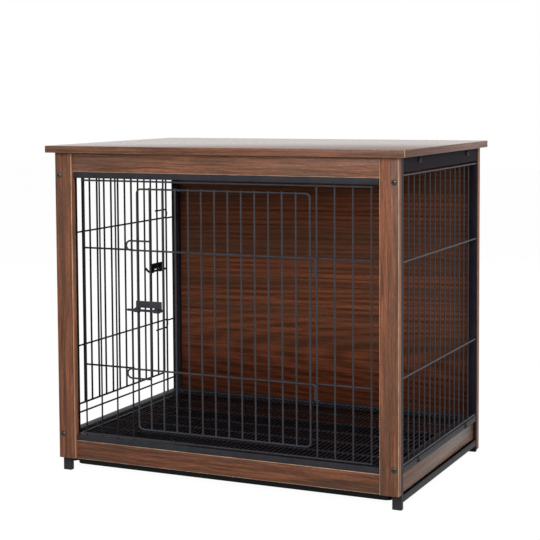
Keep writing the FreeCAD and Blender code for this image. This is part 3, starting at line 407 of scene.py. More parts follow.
bolt_black = moulded("bolt_black", (0.004, 0.004, 0.005), (0.009, 0.009, 0.010), 0.20, 0.05, 1200, 0.05, shine=0.25)
dark_zinc = moulded("dark_zinc", (0.030, 0.033, 0.028), (0.085, 0.09, 0.078), 0.34, 0.08, 1200, 0.06, 1.0)
# Near black for the recesses in screw heads and the tongues in the bar-end gaps: painted shade.
recess_shade = moulded("recess_shade", (0.004, 0.004, 0.004), (0.010, 0.010, 0.009), 0.6, 0.1, 1500, 0.1, shine=0.1)
bare_beech = moulded("bare_beech", (0.48, 0.33, 0.20), (0.60, 0.44, 0.28), 0.6, 0.08, 500, 0.10)
print("finishes in all:", len(bpy.data.materials))

# %% [markdown]
# ## From mesh to piece
# Each shape is modelled where the CAD part is, so its object stays at the origin and only its mesh has a place.

# %% Piece helper
FACE_ON, EDGE_ON = 0.97, 0.99


def piece(name, bm, finishes, body, nodes, sharp=38):
    """The bmesh as an object that rides on a body, in place of CAD nodes where some are given."""
    mesh = bpy.data.meshes.new(name)
    bm.to_mesh(mesh)
    bm.free()
    for finish in finishes:
        mesh.materials.append(finish)
    mesh.shade_smooth()
    mesh.set_sharp_from_angle(angle=math.radians(sharp))
    made = bpy.data.objects.new(name, mesh)
    bpy.context.scene.collection.objects.link(made)
    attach(made, body)
    if nodes:
        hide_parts(*nodes)
    print(name, "-", len(mesh.polygons), "faces")


def block(bm, low, high):
    """A box between two corners; returns its vertices."""
    made = bmesh.ops.create_cube(bm, size=1.0)["verts"]
    bmesh.ops.scale(bm, vec=Vector(high) - Vector(low), verts=made)
    bmesh.ops.translate(bm, vec=(Vector(high) + Vector(low)) / 2, verts=made)
    return made


def edges_between(verts):
    """The edges whose two ends are both among verts, in the same order in every run."""
    inside = set(verts)
    return list(dict.fromkeys(edge for vert in verts for edge in vert.link_edges if set(edge.verts) <= inside))


def eased(bm, edges, radius, steps=2):
    """Round some edges; returns the new faces."""
    return bmesh.ops.bevel(bm, geom=edges, offset=radius * MM, offset_type="OFFSET", segments=steps,
                           profile=0.5, affect="EDGES", material=-1)["faces"]


def edges_along(edges, axis):
    """Those of some edges that lie along X, Y or Z."""
    ways = [(edge, edge.verts[1].co - edge.verts[0].co) for edge in edges]
    return [edge for edge, way in ways if abs(way[axis]) > EDGE_ON * way.length]


def verts_of(geom):
    """The vertices in what an operator hands back."""
    return [item for item in geom if isinstance(item, bmesh.types.BMVert)]


print("piece helpers are ready")

# %% [markdown]
# ## The boards
# A laminated board is a plain slab with slightly eased edges, and the easing is what makes it look made:
# it catches light and shows the pale seam. A Bevel modifier would do it too, but the bmesh bevel hands back its new
# faces, so the seam can be painted on just the edges that show one.

# %% Board helper
WHOLE_EDGE = 0.9


def board(name, node, grain_finish, seams, ends=(), radius=1.2, capped=0.0):
    """A board in a CAD node's box, less what caps its top. seams lists the axes whose edges show a pale line,
    and ends gives the axes whose faces have a finish of their own, with it."""
    low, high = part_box(node)
    high.z -= capped * MM
    bm = bmesh.new()
    block(bm, low, high)
    sizes = high - low
    # The eased faces along the seam axes take the pale seam finish: partly the core line, partly a painted highlight.
    for face in eased(bm, bm.edges[:], radius):
        for axis in seams:
            reach = [vert.co[axis] for vert in face.verts]
            if max(reach) - min(reach) > WHOLE_EDGE * (sizes[axis] - 2 * radius * MM):
                face.material_index = 1
    bm.normal_update()
    for index, (axis, finish) in enumerate(ends):
        for face in bm.faces:
            if abs(face.normal[axis]) > FACE_ON:
                face.material_index = 2 + index
    finishes = [grain_finish, seam_and_highlight, *(finish for axis, finish in ends)]
    piece(name, bm, finishes, "crate", [node])


print("board helper is ready")

# %% Boards
board("table_top_board", "table_top", walnut_table, [Z], [(X, walnut_table_side_sheen), (Y, walnut_table_front)], 0.8)
board("left_stile", "stile_left", walnut_upright, [Z], [(X, walnut_edging_lit)])
board("right_stile", "stile_right", walnut_upright, [Z], [(X, walnut_edging_lit)])
board("top_rail_board", "top_rail", walnut_across, [X])
board("bottom_rail_board", "bottom_rail", walnut_sill_shaded, [X, Z])
board("back_board", "back_panel", walnut_back, [Z], [(X, walnut_edging_lit)])
CAP_STRIP = 2.0
board("left_kick_board", "kick_panel_left", walnut_kick_sheen, [Y], capped=CAP_STRIP)
board("right_kick_board", "kick_panel_right", walnut_kick_sheen, [Y], capped=CAP_STRIP)

# %% [markdown]
# ## The steel frame
# The legs and bars are thin rectangular tube and flat bar. What gives tube away is its rounded long edges and, at
# the ends of the front bars, the open mouth beside the stile. The long edges are bevelled, and an inset on each
# end face that is then pushed inwards leaves the wall standing. The upper face of the front floor bar is painted
# with the grate's darker coat: painted shade on the top of the bar.

# %% Tube and flat bar
LEG_CORNER, BAR_CORNER, PLATE_CORNER = 1.8, 1.5, 0.7
TUBE_WALL, HOLLOW_DEEP, UPWARD = 1.2, 18.0, 0.9


def steel_bar(name, node, along, corner, wall=None, coat=powder_coat, top_shade_coat=None):
    """A bar in a CAD node's box with rounded long edges, hollow at its ends where a wall is given."""
    bm = bmesh.new()
    block(bm, *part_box(node))
    eased(bm, edges_along(bm.edges, along), corner, 3)
    bm.normal_update()
    ends = [face for face in bm.faces if abs(face.normal[along]) > FACE_ON]
    if wall:
        bmesh.ops.inset_individual(bm, faces=ends, thickness=wall * MM, use_even_offset=True)
        bmesh.ops.inset_individual(bm, faces=ends, thickness=0.0, depth=-HOLLOW_DEEP * MM)
    # Upward faces take the top coat where one is given: painted shade on the bar's top.
    for face in bm.faces:
        face.material_index = 1 if top_shade_coat and face.normal.z > UPWARD else 0
    piece(name, bm, [coat, top_shade_coat or coat], "crate", [node])


for end in ("front", "rear"):
    for hand in ("left", "right"):
        steel_bar(f"{end}_{hand}_leg", f"leg_{end}_{hand}", Z, LEG_CORNER,
                  coat=powder_coat if end == "front" else shaded_plate_coat)
for hand in ("left", "right"):
    steel_bar(f"{hand}_top_plate", f"side_top_plate_{hand}", Y, PLATE_CORNER, coat=shaded_plate_coat)
steel_bar("front_top_tube", "front_top_bar", X, BAR_CORNER, TUBE_WALL)
steel_bar("front_floor_tube", "front_floor_bar", X, BAR_CORNER, TUBE_WALL, top_shade_coat=grate_shade_coat)
steel_bar("rear_floor_tube", "rear_floor_bar", X, BAR_CORNER)

# %% [markdown]
# ### Uprights behind the stiles
# A narrow black upright stands behind the inner edge of each stile, from the floor bar to the top bar. The photograph
# shows its side as a dark line along the left stile. It is thin trim, so it is made here only, on the stile's back.

# %% Uprights
TRIM_WIDE, TRIM_DEEP = 7.5 * MM, 8.0 * MM
trim_foot, trim_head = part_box("front_floor_bar")[1].z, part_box("front_top_bar")[0].z
for hand, sign in (("left", -1), ("right", 1)):
    stile_low, stile_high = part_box(f"stile_{hand}")
    inner = min(abs(stile_low.x), abs(stile_high.x))
    near, far = sorted((sign * inner, sign * (inner + TRIM_WIDE)))
    trim = bmesh.new()
    block(trim, (near, stile_high.y, trim_foot), (far, stile_high.y + TRIM_DEEP, trim_head))
    eased(trim, edges_along(trim.edges, Z), PLATE_CORNER)
    piece(f"{hand}_front_upright", trim, [deep_shade_coat], "crate", [])

# %% [markdown]
# ### Angle bars and foot caps
# The tray slides on two angle bars between the feet, the grate lies on two more, and an angle with a thin lip caps
# each kick board. An angle is its L section pulled out to a length, so six corner points make the section and an
# extrusion makes the bar. The foot caps are plugs with a thin eased rim.

# %% Angle bars


def angle_bar(name, node, section, notch=0.0):
    """Pull a section, given in X from the middle of the crate and Z, along a node's length in Y.
    A notch cuts the ledge back at the front, by that many millimetres."""
    low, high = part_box(node)
    side = 1 if high.x > 0 else -1
    bm = bmesh.new()
    face = bm.faces.new([bm.verts.new((side * x * MM, low.y, z * MM)) for x, z in section])
    pulled = bmesh.ops.extrude_face_region(bm, geom=[face])["geom"]
    bmesh.ops.translate(bm, vec=(0, high.y - low.y, 0), verts=verts_of(pulled))
    if notch:
        tip = min(x for x, z in section)
        bmesh.ops.translate(bm, vec=(0, notch * MM, 0), verts=[
            vert for vert in bm.verts if abs(vert.co.x) < (tip + 1) * MM and vert.co.y < low.y + TINY])
    bmesh.ops.recalc_face_normals(bm, faces=bm.faces)
    eased(bm, edges_along(bm.edges, Y), 0.6)
    piece(name, bm, [powder_coat], "crate", [node])


RUNNER = [(353.5, 14), (393.5, 14), (393.5, 28), (391.5, 28), (391.5, 16), (353.5, 16)]
BEARER = [(353.5, 72), (373.5, 72), (373.5, 84.5), (371.5, 84.5), (371.5, 74), (353.5, 74)]
CAPPED = 84.5 - CAP_STRIP
RUNNER_NOTCH = 45.0
FLOOR_STRIP = [(393.5, 71.5), (393.5, 84.5), (373.6, 84.5), (373.6, CAPPED), (388.5, CAPPED), (388.5, 71.5)]
for hand in ("left", "right"):
    angle_bar(f"{hand}_runner", f"tray_runner_{hand}", RUNNER, RUNNER_NOTCH)
    angle_bar(f"{hand}_bearer", f"grate_bearer_{hand}", BEARER)
    angle_bar(f"{hand}_floor_strip", f"side_floor_bar_{hand}", FLOOR_STRIP)

# %% Foot caps
caps_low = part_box("foot_caps")[0]
CAP_HIGH = 3.0 * MM
caps = bmesh.new()
for hand in ("left", "right"):
    for end in ("front", "rear"):
        leg_low, leg_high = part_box(f"leg_{end}_{hand}")
        rim = block(caps, (leg_low.x, leg_low.y, caps_low.z), (leg_high.x, leg_high.y, CAP_HIGH))
        eased(caps, edges_along(edges_between(rim), Z), LEG_CORNER, 3)
eased(caps, [edge for edge in caps.edges if max(vert.co.z for vert in edge.verts) < caps_low.z + TINY], 0.7)
piece("leg_foot_caps", caps, [cap_black], "crate", ["foot_caps"])

# %% [markdown]
# ## The wire bender
# Doors, hooks, latch bolts and the grate's rim are all wire bent on a machine: a straight run, a bend of some radius,
# another run. The helper below works the same way. It starts from a circle, extrudes it for a run and spins it
# for a bend, so the wire stays evenly thick all the way. A bevelled curve would need its corners worked out by hand.

# %% Wire bender


def bend_wire(bm, start, heading, moves, thick, sides=12, closed=False, nose=1.0):
    """Bend a wire from start. Moves are ("run", mm), ("to", direction, radius), ("turn", axis, radius, degrees)
    and ("taper", mm, share). The wire starts at nose times its thickness, and a closed one meets its start."""
    spot, way = Vector(start) * MM, Vector(heading).normalized()
    ring = bmesh.ops.create_circle(
        bm, cap_ends=not closed, radius=thick / 2 * nose * MM, segments=sides,
        matrix=Matrix.Translation(spot) @ way.to_track_quat("Z", "Y").to_matrix().to_4x4())["verts"]
    for move in moves:
        edges = edges_between(ring)
        if move[0] in ("run", "taper"):
            grown = bmesh.ops.extrude_edge_only(bm, edges=edges)["geom"]
            ring = verts_of(grown)
            bmesh.ops.translate(bm, vec=way * move[1] * MM, verts=ring)
            spot = spot + way * move[1] * MM
            if move[0] == "taper":
                bmesh.ops.scale(bm, vec=(move[2],) * 3, verts=ring, space=Matrix.Translation(-spot))
        else:
            if move[0] == "to":
                aimed = Vector(move[1]).normalized()
                axis, radius, angle = way.cross(aimed).normalized(), move[2] * MM, way.angle(aimed)
            else:
                axis, radius, angle = Vector(move[1]).normalized(), move[2] * MM, math.radians(move[3])
            centre = spot + axis.cross(way) * radius
            steps = max(3, round(math.degrees(angle) / 15))
            grown = bmesh.ops.spin(bm, geom=edges, cent=centre, axis=axis, dvec=(0, 0, 0), angle=angle,
                                   steps=steps, use_merge=False, use_duplicate=False)["geom_last"]
            ring = verts_of(grown)
            swing = Matrix.Rotation(angle, 3, axis)
            spot, way = centre + swing @ (spot - centre), swing @ way
    if closed:
        bmesh.ops.remove_doubles(bm, verts=bm.verts[:], dist=TINY)
    else:
        bmesh.ops.edgeloop_fill(bm, edges=edges_between(ring))


print("wire bender is ready")

# %% Straight and finished wires


def rod(bm, start, end, thick, sides=12, nose=0.72, soft=0.6):
    """A straight wire with both ends slightly rounded off, as sheared wire is."""
    start, end = Vector(start), Vector(end)
    length = (end - start).length
    bend_wire(bm, start, end - start,
              [("taper", soft, 1 / nose), ("run", length - 2 * soft), ("taper", soft, nose)], thick, sides,
              nose=nose)


def wire_ring(bm, start, across, onward, wide, tall, lead, bend, thick):
    """A closed rectangle of wire. It starts on its first side, lead away from the corner behind."""
    bend_wire(bm, start, across, [
        ("run", wide - lead - bend), ("to", onward, bend), ("run", tall - 2 * bend), ("to", -across, bend),
        ("run", wide - 2 * bend), ("to", -onward, bend), ("run", tall - 2 * bend), ("to", across, bend),
        ("run", lead - bend)], thick, closed=True)


def finished_wires(name, bm, body, nodes, place=Matrix.Identity(4), coat=lit_wire_coat):
    """Put bent wires in place and make them one piece."""
    bmesh.ops.recalc_face_normals(bm, faces=bm.faces)
    bmesh.ops.transform(bm, matrix=place, verts=bm.verts)
    piece(name, bm, [coat], body, nodes)


print("wire helpers are ready")

# %% [markdown]
# ## The fixed front wires
# Beside the door stand two groups of four uprights, welded between the floor bar and the top bar. Two short level
# wires tie each group together from behind, and a header wire and a sill wire run right across in front. They are
# straight, so each is one run with sheared ends. The left group stands against white and is painted a deeper black:
# painted shade.

# %% Front wires
UPRIGHT_THICK, LEVEL_THICK = 3.5, 4.0
FRONT_POST, FRONT_PITCH = 213.75, 39.05
UPRIGHTS = [FRONT_POST + FRONT_PITCH * row for row in range(4)]
FRONT_PLANE, TIE_PLANE, CROSS_PLANE = -253.0, -249.55, -256.75
FLOOR_LINE, FRONT_HEAD = 84.5, 644.5
TIE_NEAR, TIE_FAR = 212.0, 334.9
for hand, sign in (("left", -1), ("right", 1)):
    wires = bmesh.new()
    for out in UPRIGHTS:
        rod(wires, (sign * out, FRONT_PLANE, FLOOR_LINE), (sign * out, FRONT_PLANE, FRONT_HEAD), UPRIGHT_THICK)
    for height in (238.3, 493.2):
        rod(wires, (sign * TIE_NEAR, TIE_PLANE, height), (sign * TIE_FAR, TIE_PLANE, height), LEVEL_THICK)
    finished_wires(f"{hand}_front_wires", wires, "crate", [f"front_wires_{hand}"],
                   coat=deep_shade_coat if hand == "left" else lit_wire_coat)
for label, height in (("header", 639.7), ("sill", 87.8)):
    wires = bmesh.new()
    rod(wires, (-TIE_FAR, CROSS_PLANE, height), (TIE_FAR, CROSS_PLANE, height), LEVEL_THICK)
    finished_wires(f"front_{label}", wires, "crate", [f"front_{label}_wire"])

# %% [markdown]
# ## The side walls
# The left side is mostly a doorway: a post near each leg, the rear one thicker, tied back to the leg, with a header
# and a sill. The right side is closed by one welded panel, with level wires on the outside and thirteen uprights
# behind them.

# %% Side wires
SIDE_PLANE, SIDE_TIE, SIDE_CROSS = 391.0, 387.55, 387.25
LEG_FRONT, LEG_REAR = -241.0, 251.5
SIDE_POST, REAR_POST, REAR_POST_THICK = -208.5, 219.0, 4.4
POST_HEAD, TIE_PAST = 668.5, 1.75
SIDE_HEADER = 662.8
for label, post, leg, thick in (("front", SIDE_POST, LEG_FRONT, UPRIGHT_THICK),
                                ("rear", REAR_POST, LEG_REAR, REAR_POST_THICK)):
    wires = bmesh.new()
    rod(wires, (-SIDE_PLANE, post, FLOOR_LINE), (-SIDE_PLANE, post, POST_HEAD), thick)
    near, far = sorted((leg, post + math.copysign(TIE_PAST, post - leg)))
    for height in (262.8, 517.7):
        rod(wires, (-SIDE_TIE, near, height), (-SIDE_TIE, far, height), LEVEL_THICK)
    finished_wires(f"{label}_side_post", wires, "crate", [f"side_post_{label}"], coat=deep_shade_coat)
for label, height in (("header", SIDE_HEADER), ("sill", 115.0)):
    wires = bmesh.new()
    rod(wires, (-SIDE_CROSS, LEG_FRONT, height), (-SIDE_CROSS, LEG_REAR, height), LEVEL_THICK)
    finished_wires(f"side_{label}", wires, "crate", [f"side_{label}_wire"], coat=deep_shade_coat)

# %% Right wall
PANEL_MIDDLE, PANEL_PITCH, PANEL_HEAD = (LEG_FRONT + LEG_REAR) / 2, 33.75, 664.8
panel = bmesh.new()
for height in (87.8, 262.0, 492.1, SIDE_HEADER):
    rod(panel, (SIDE_PLANE, LEG_FRONT, height), (SIDE_PLANE, LEG_REAR, height), LEVEL_THICK)
for row in range(-6, 7):
    along = PANEL_MIDDLE + PANEL_PITCH * row
    rod(panel, (SIDE_TIE, along, FLOOR_LINE), (SIDE_TIE, along, PANEL_HEAD), UPRIGHT_THICK)
finished_wires("right_wall", panel, "crate", ["right_wire_panel"])

# %% [markdown]
# ## The wire doors
# A door is a bent rectangle of thick wire with twelve rods welded across it. Two level wires carry it: each loops
# back round the latch edge, crosses the door, then drops and curls round the post, and that open curl is the hinge.
# Both doors are alike, so one is drawn from its own hinge axis and a matrix puts it in the front or the side. The
# side door stands against white, so its wires are a little thicker and are painted a deeper black, painted shade.

# %% Door shape
DOOR_TALL, LEVEL_OUT = 514.9, 4.3
RING_NEAR, RING_FAR, RING_BEND, RING_START, RING_OUT = 14.4, 413.1, 9.0, 60.0, 0.35
ROD_COUNT, ROD_OUT, ROD_FOOT, ROD_PAST = 12, 0.55, -1.9, 3.4
LOOP_BACK, LOOP_END, LOOP_BEND = 382.0, 439.75, 10.0
DROP_BEND, DROP_LONG, ELBOW, TAIL_SHORT = 8.0, 33.0, 2.05, 9.0
U, OUT, UP = Vector((1, 0, 0)), Vector((0, 1, 0)), Vector((0, 0, 1))


def hinge_wire(bm, height, loop_way):
    """A level wire: latch loop, crossing, drop, curl round the post and upright tail."""
    lean = math.asin(ELBOW / LEVEL_OUT)
    into = -U * math.cos(lean) - OUT * math.sin(lean)
    post_gap = LEVEL_OUT * math.cos(lean)
    loop_line = LOOP_END - LEVEL_THICK / 2 - LOOP_BEND
    bend_wire(bm, (LOOP_BACK, LEVEL_OUT, height + 2 * LOOP_BEND * loop_way), U, [
        ("run", loop_line - LOOP_BACK),
        ("turn", OUT * loop_way, LOOP_BEND, 180),
        ("run", loop_line - DROP_BEND),
        ("to", -UP, DROP_BEND),
        ("run", DROP_LONG - DROP_BEND - ELBOW),
        ("to", into, ELBOW),
        ("turn", UP, post_gap, 270 - 2 * math.degrees(lean)),
        ("to", UP, ELBOW),
        ("run", DROP_LONG - TAIL_SHORT - ELBOW),
    ], LEVEL_THICK)


def door_wires(ring_thick, rod_thick):
    """One door in its own axes: along from the hinge, outwards, up."""
    bm = bmesh.new()
    wire_ring(bm, (RING_NEAR + RING_START, RING_OUT, 0.0), U, UP, RING_FAR - RING_NEAR, DOOR_TALL, RING_START,
              RING_BEND, ring_thick)
    pitch = (RING_FAR - RING_NEAR) / (ROD_COUNT + 1)
    for row in range(1, ROD_COUNT + 1):
        along = RING_NEAR + pitch * row
        rod(bm, (along, ROD_OUT, ROD_FOOT), (along, ROD_OUT, DOOR_TALL + ROD_PAST), rod_thick)
    hinge_wire(bm, 130.0, -1)
    hinge_wire(bm, 384.9, 1)
    return bm


print("door of", DOOR_TALL, "mm with", ROD_COUNT, "rods")

# %% Doors
IN_FRONT = Matrix.Translation(Vector((FRONT_POST, FRONT_PLANE, 108.3)) * MM) @ turn_by(180, "Z")
IN_SIDE = Matrix.Translation(Vector((-SIDE_PLANE, SIDE_POST, 132.8)) * MM) @ turn_by(90, "Z")
finished_wires("front_wire_door", door_wires(4.0, 3.6), "front_leaf", ["front_door"], IN_FRONT)
finished_wires("side_wire_door", door_wires(4.4, 4.3), "side_leaf", ["side_door"], IN_SIDE, deep_shade_coat)

# %% [markdown]
# ## The slide latches
# A bolt of thick wire with a bent handle slides in two knuckles. The bracket is one sheet whose lower edge is rolled
# into the knuckles, so it is a bevelled plate, two short necks, and a small rectangle spun round the bolt's line.

# %% Bracket
BOLT_OUT, BOLT_HIGH = 6.85, 257.45
SHEET_BACK, SHEET_THICK = 2.35, 1.5
BRACKET_NEAR, BRACKET_FAR = 358.0, 418.0
KNUCKLE_LONG, KNUCKLE_OUT, NECK_TALL = 13.0, 3.75, 5.6
FLAP_MORE, FLAP_LESS, FLAP_LOW, FLAP_HIGH, FLAP_CORNER = 4.0, 2.0, 5.5, 20.0, 1.5


def sheet_bit(bm, near, far, low, high, corner):
    """A flat bit of the bracket's sheet with its upper corners rounded."""
    made = block(bm, Vector((near, SHEET_BACK, low)) * MM, Vector((far, SHEET_BACK + SHEET_THICK, high)) * MM)
    if corner:
        middle = (low + high) / 2 * MM
        top = [edge for edge in edges_along(edges_between(made), Y) if edge.verts[0].co.z > middle]
        eased(bm, top, corner, 5)


def latch_bracket():
    """The sheet and its two knuckles."""
    bm = bmesh.new()
    sheet_bit(bm, BRACKET_NEAR - FLAP_MORE, BRACKET_FAR - FLAP_LESS, BOLT_HIGH + FLAP_LOW, BOLT_HIGH + FLAP_HIGH,
              FLAP_CORNER)
    for near in (BRACKET_NEAR, BRACKET_FAR - KNUCKLE_LONG):
        sheet_bit(bm, near, near + KNUCKLE_LONG, BOLT_HIGH, BOLT_HIGH + NECK_TALL, 0)
        wall = bmesh.ops.create_grid(
            bm, x_segments=1, y_segments=1, size=0.5,
            matrix=Matrix.Translation(Vector((near + KNUCKLE_LONG / 2, BOLT_OUT, BOLT_HIGH + KNUCKLE_OUT)) * MM)
            @ turn_by(90, "X") @ Matrix.Diagonal((KNUCKLE_LONG * MM, SHEET_THICK * MM, 1, 1)))["verts"]
        edges = edges_between(wall)
        bmesh.ops.delete(bm, geom=wall[0].link_faces[:], context="FACES_ONLY")
        bmesh.ops.spin(bm, geom=edges, cent=Vector((0, BOLT_OUT, BOLT_HIGH)) * MM, axis=(1, 0, 0),
                       dvec=(0, 0, 0), angle=math.tau, steps=24, use_merge=True, use_duplicate=False)
    bmesh.ops.remove_doubles(bm, verts=bm.verts[:], dist=WELD)
    return bm


finished_wires("front_latch_sheet", latch_bracket(), "front_leaf", ["front_latch_bracket"], IN_FRONT)
finished_wires("side_latch_sheet", latch_bracket(), "side_leaf", ["side_latch_bracket"], IN_SIDE, deep_shade_coat)

# %% Bolt
BOLT_NEAR, BOLT_FAR, BOLT_THICK = 351.5, 437.5, 5.5
BOLT_BEND, HANDLE_LONG, BOLT_TIP = 5.0, 13.5, 5.0
BOLT_SOFT, BOLT_NOSE, TIP_NECK, TIP_END = 1.0, 0.7, 0.66, 0.6


def latch_bolt():
    """The bolt from the end of its handle to its tapered tip."""
    bm = bmesh.new()
    slant = (OUT + UP) / math.sqrt(2)
    start = Vector((BOLT_NEAR, BOLT_OUT, BOLT_HIGH)) + slant * HANDLE_LONG
    bend_wire(bm, start, -slant, [
        ("taper", BOLT_SOFT, 1 / BOLT_NOSE), ("run", HANDLE_LONG - BOLT_SOFT - BOLT_BEND), ("to", U, BOLT_BEND),
        ("run", BOLT_FAR - BOLT_NEAR - BOLT_BEND - BOLT_TIP), ("taper", BOLT_TIP - BOLT_SOFT, TIP_NECK),
        ("taper", BOLT_SOFT, TIP_END)], BOLT_THICK, sides=20, nose=BOLT_NOSE)
    return bm


finished_wires("front_slide_bolt", latch_bolt(), "front_bolt", ["front_latch_bolt"], IN_FRONT)
finished_wires("side_slide_bolt", latch_bolt(), "side_bolt", ["side_latch_bolt"], IN_SIDE, deep_shade_coat)

# %% [markdown]
# ## The floor grate
# Under the dog lies a grate: a bent rim with five cross bars, and close thin wires from front to rear on top.
# There are sixty-five of those, so they get few sides; the rim is made on the wire bender.

# %% Grate
RIM_THICK, RIM_BEND, RIM_LEVEL = 6.0, 12.0, 77.0
BAR_COUNT, BAR_LEVEL, BAR_THICK = 5, 77.5, 5.0
rim_low, rim_high = (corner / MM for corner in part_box("floor_grate_frame"))
rim_side, rim_front, rim_rear = rim_high.x - RIM_THICK / 2, rim_low.y + RIM_THICK / 2, rim_high.y - RIM_THICK / 2
rim = bmesh.new()
wire_ring(rim, (0, rim_front, RIM_LEVEL), U, OUT, 2 * rim_side, rim_rear - rim_front, rim_side, RIM_BEND, RIM_THICK)
for row in range(1, BAR_COUNT + 1):
    back = rim_low.y + (rim_high.y - rim_low.y) * row / (BAR_COUNT + 1)
    rod(rim, (-rim_side, back, BAR_LEVEL), (rim_side, back, BAR_LEVEL), BAR_THICK)
finished_wires("grate_rim", rim, "crate", ["floor_grate_frame"], coat=rim_highlight_coat)

# %% Close wires
CLOSE_PITCH, CLOSE_LEVEL, CLOSE_THICK = 11.0, 81.5, 3.0
close_wires = bmesh.new()
for row in range(-32, 33):
    along = CLOSE_PITCH * row
    rod(close_wires, (along, rim_low.y, CLOSE_LEVEL), (along, rim_high.y, CLOSE_LEVEL), CLOSE_THICK, sides=8)
finished_wires("grate_wires", close_wires, "crate", ["floor_grate_wires"], coat=grate_shade_coat)

# %% [markdown]
# ## The waste tray
# The tray is a shallow glossy moulding with round corners. A block gets its four upright edges rounded, a strip of
# its underside is pulled down into a grip at the front, and its top face is inset by the wall and pushed down. Then
# rim and foot are eased so they catch a thin highlight.

# %% Tray
tray_low, tray_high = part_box("waste_tray")
TRAY_CORNER, TRAY_WALL, TRAY_DEEP = 18.0, 2.0, 11.5
GRIP_LONG, GRIP_DEEP = 24.0, 3.4
grip_line = tray_low.y + GRIP_LONG * MM
tray = bmesh.new()
block(tray, tray_low, tray_high)
eased(tray, edges_along(tray.edges, Z), TRAY_CORNER, 8)
tray.normal_update()
under = [face for face in tray.faces if face.normal.z < -FACE_ON]
bmesh.ops.bisect_plane(tray, geom=under + under[0].edges[:] + under[0].verts[:], dist=CUT,
                       plane_co=(0, grip_line, 0), plane_no=(0, 1, 0))
tray.normal_update()
under = [face for face in tray.faces if face.normal.z < -FACE_ON and face.calc_center_median().y < grip_line]
lowered = bmesh.ops.extrude_face_region(tray, geom=under)["geom"]
bmesh.ops.delete(tray, geom=under, context="FACES_ONLY")
bmesh.ops.translate(tray, vec=(0, 0, -GRIP_DEEP * MM), verts=verts_of(lowered))
tray.normal_update()
print("tray with a grip", GRIP_DEEP, "mm deep")

# %% Tray's hollow and edges
mouth = [face for face in tray.faces if face.normal.z > FACE_ON]
bmesh.ops.inset_individual(tray, faces=mouth, thickness=TRAY_WALL * MM, use_even_offset=True)
bmesh.ops.inset_individual(tray, faces=mouth, thickness=0.0, depth=-TRAY_DEEP * MM)
mouth[0].material_index = 1
lip = [edge for edge in tray.edges if min(vert.co.z for vert in edge.verts) > tray_high.z - TINY
       and not all(face.normal.z > FACE_ON for face in edge.link_faces)]
eased(tray, lip, 0.7, 2)
grip_foot = tray_low.z - GRIP_DEEP * MM
eased(tray, [edge for edge in tray.edges if max(vert.co.z for vert in edge.verts) < grip_foot + TINY], 1.0, 3)
piece("waste_tray_moulding", tray, [tray_black, tray_floor], "tray", ["waste_tray"])

# %% [markdown]
# ## Screws and bolts
# A pan head is a short profile spun round its axis. The cross in it is cut with planes: they divide the top into
# narrow faces, and those that lie in the cross are pushed down. The side bolts get a rounder head and a six-sided
# socket, made the same way with three pairs of planes.

# %% Head shapes


def head_mesh(name, profile, planes, in_recess, depth):
    """A head on the XY plane, its recess cut along planes given as (normal, distance)."""
    bm = bmesh.new()
    points = [bm.verts.new((out * MM, 0, up * MM)) for out, up in profile]
    edges = [bm.edges.new(pair) for pair in zip(points, points[1:])]
    bmesh.ops.spin(bm, geom=edges, cent=(0, 0, 0), axis=(0, 0, 1), dvec=(0, 0, 0), angle=math.tau, steps=24,
                   use_merge=True, use_duplicate=False)
    bmesh.ops.remove_doubles(bm, verts=bm.verts[:], dist=WELD)
    rim_edges = [edge for edge in bm.edges if edge.is_boundary]
    bmesh.ops.edgeloop_fill(bm, edges=rim_edges)
    bmesh.ops.recalc_face_normals(bm, faces=bm.faces)
    for normal, distance in planes:
        normal = Vector(normal).normalized()
        bmesh.ops.bisect_plane(bm, geom=bm.verts[:] + bm.edges[:] + bm.faces[:], dist=CUT,
                               plane_co=normal * distance * MM, plane_no=normal)
    bm.normal_update()
    pit = [face for face in bm.faces if face.normal.z > 0.5 and in_recess(face.calc_center_median() / MM)]
    before = set(bm.faces)
    sunk = bmesh.ops.extrude_face_region(bm, geom=pit)["geom"]
    # The recess's new faces take the second finish, the near black: painted shade in the recess.
    for face in set(bm.faces) - before:
        face.material_index = 1
    bmesh.ops.delete(bm, geom=pit, context="FACES_ONLY")
    bmesh.ops.translate(bm, vec=(0, 0, -depth * MM), verts=verts_of(sunk))
    bmesh.ops.recalc_face_normals(bm, faces=bm.faces)
    mesh = bpy.data.meshes.new(name)
    bm.to_mesh(mesh)
    bm.free()
    return mesh


ARM_HALF, ARM_LONG, CROSS_DEEP = 0.75, 3.1, 1.2
SOCKET_HALF, SOCKET_DEEP = 2.0, 2.2
cross_planes = [(axis, side * far) for axis in ((1, 0, 0), (0, 1, 0))
                for far in (ARM_HALF, ARM_LONG) for side in (-1, 1)]
pan_head = head_mesh(
    "pan_head", [(0, 2.8), (2.6, 2.74), (4.2, 2.4), (5.3, 1.8), (5.85, 1.0), (6.0, 0.4), (6.0, 0.0)], cross_planes,
    lambda spot: max(abs(spot.x), abs(spot.y)) < ARM_LONG and min(abs(spot.x), abs(spot.y)) < ARM_HALF, CROSS_DEEP)
flats = [Vector((math.cos(turn), math.sin(turn), 0)) for turn in (0, math.pi / 3, 2 * math.pi / 3)]
dome_head = head_mesh(
    "dome_head", [(0, 4.4), (2.2, 4.3), (3.8, 3.9), (5.0, 3.1), (5.7, 2.0), (6.0, 0.9), (6.0, 0.0)],
    [(flat, side * SOCKET_HALF) for flat in flats for side in (-1, 1)],
    lambda spot: all(abs(flat.dot(spot)) < SOCKET_HALF for flat in flats), SOCKET_DEEP)
print("pan head:", len(pan_head.polygons), "faces, domed head:", len(dome_head.polygons), "faces")

# %% Screws in place
SHANK_THICK, SHANK_TIP = 4.2, 3.0
LEG_LINE = 383.5


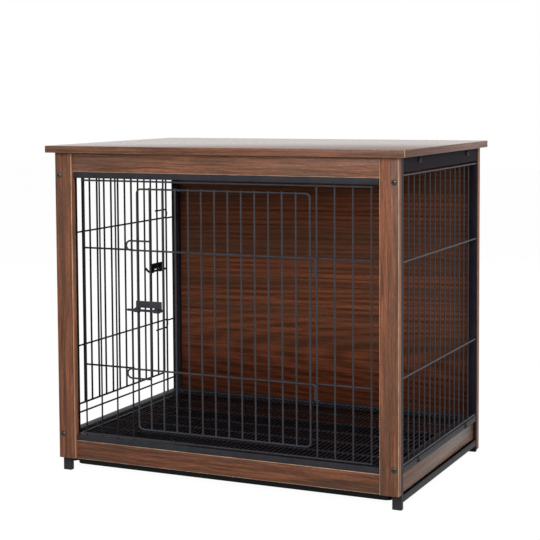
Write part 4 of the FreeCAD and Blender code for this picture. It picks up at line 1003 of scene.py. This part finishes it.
def screwed(name, head, spots, facing, finish, node, shank):
    """Heads at spots, each with a shank behind it."""
    bm = bmesh.new()
    for spot, way in zip(spots, facing):
        count = len(bm.verts)
        bm.from_mesh(head)
        bm.verts.ensure_lookup_table()
        seat = Matrix.Translation(Vector(spot) * MM) @ Vector(way).to_track_quat("Z", "Y").to_matrix().to_4x4()
        bmesh.ops.transform(bm, matrix=seat, verts=bm.verts[count:])
        bend_wire(bm, Vector(spot) + Vector(way) * 0.5, -Vector(way), [("run", shank), ("taper", SHANK_TIP, 0.2)],
                  SHANK_THICK, 10)
    bmesh.ops.recalc_face_normals(bm, faces=bm.faces)
    piece(name, bm, [finish, recess_shade], "crate", [node])


stile_spots = [(side * LEG_LINE, -268.0, height) for side in (-1, 1) for height in (650.2, 83.7)]
screwed("stile_pan_screws", pan_head, stile_spots, [(0, -1, 0)] * 4, dark_zinc, "stile_screws", 19)
back_spots = [(side * LEG_LINE, 278.5, height) for side in (-1, 1) for height in (60, 354.5, 649)]
screwed("back_pan_screws", pan_head, back_spots, [(0, 1, 0)] * 6, dark_zinc, "back_panel_screws", 19)
for label, height in (("top", 689.2), ("floor", 78.0)):
    spots = [(side * 393.5, back, height) for side in (-1, 1) for back in (-148.5, 175.5)]
    ways = [(side, 0, 0) for side in (-1, 1) for back in (0, 1)]
    screwed(f"side_{label}_dome_bolts", dome_head, spots, ways, bolt_black, f"side_{label}_bolts", 16)
table_spots = [(side * 381.0, back, 668.5) for side in (-1, 1) for back in (-124.75, 135.25)]
screwed("table_pan_screws", pan_head, table_spots, [(0, 0, -1)] * 4, dark_zinc, "table_screws", 36)

# %% [markdown]
# ## The parts that stay as they are
# The dowels, the tongues in the bar ends, the nuts and the cleats are right as the CAD made them and nearly hidden.
# They keep their shapes and only get the finishes made above.

# %% Finishes for the CAD parts
# The bar tongues take the near black recess finish: painted shade in the gaps at the bar ends.
carried_over = {
    "rail_dowels": bare_beech, "bar_tongues": recess_shade, "side_floor_nuts": dark_zinc,
    "side_top_cleat_left": walnut_kick_sheen, "side_top_cleat_right": walnut_kick_sheen,
}
for node, finish in carried_over.items():
    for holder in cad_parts[node].material_slots:
        holder.material = finish
print("carried over:", ", ".join(carried_over))
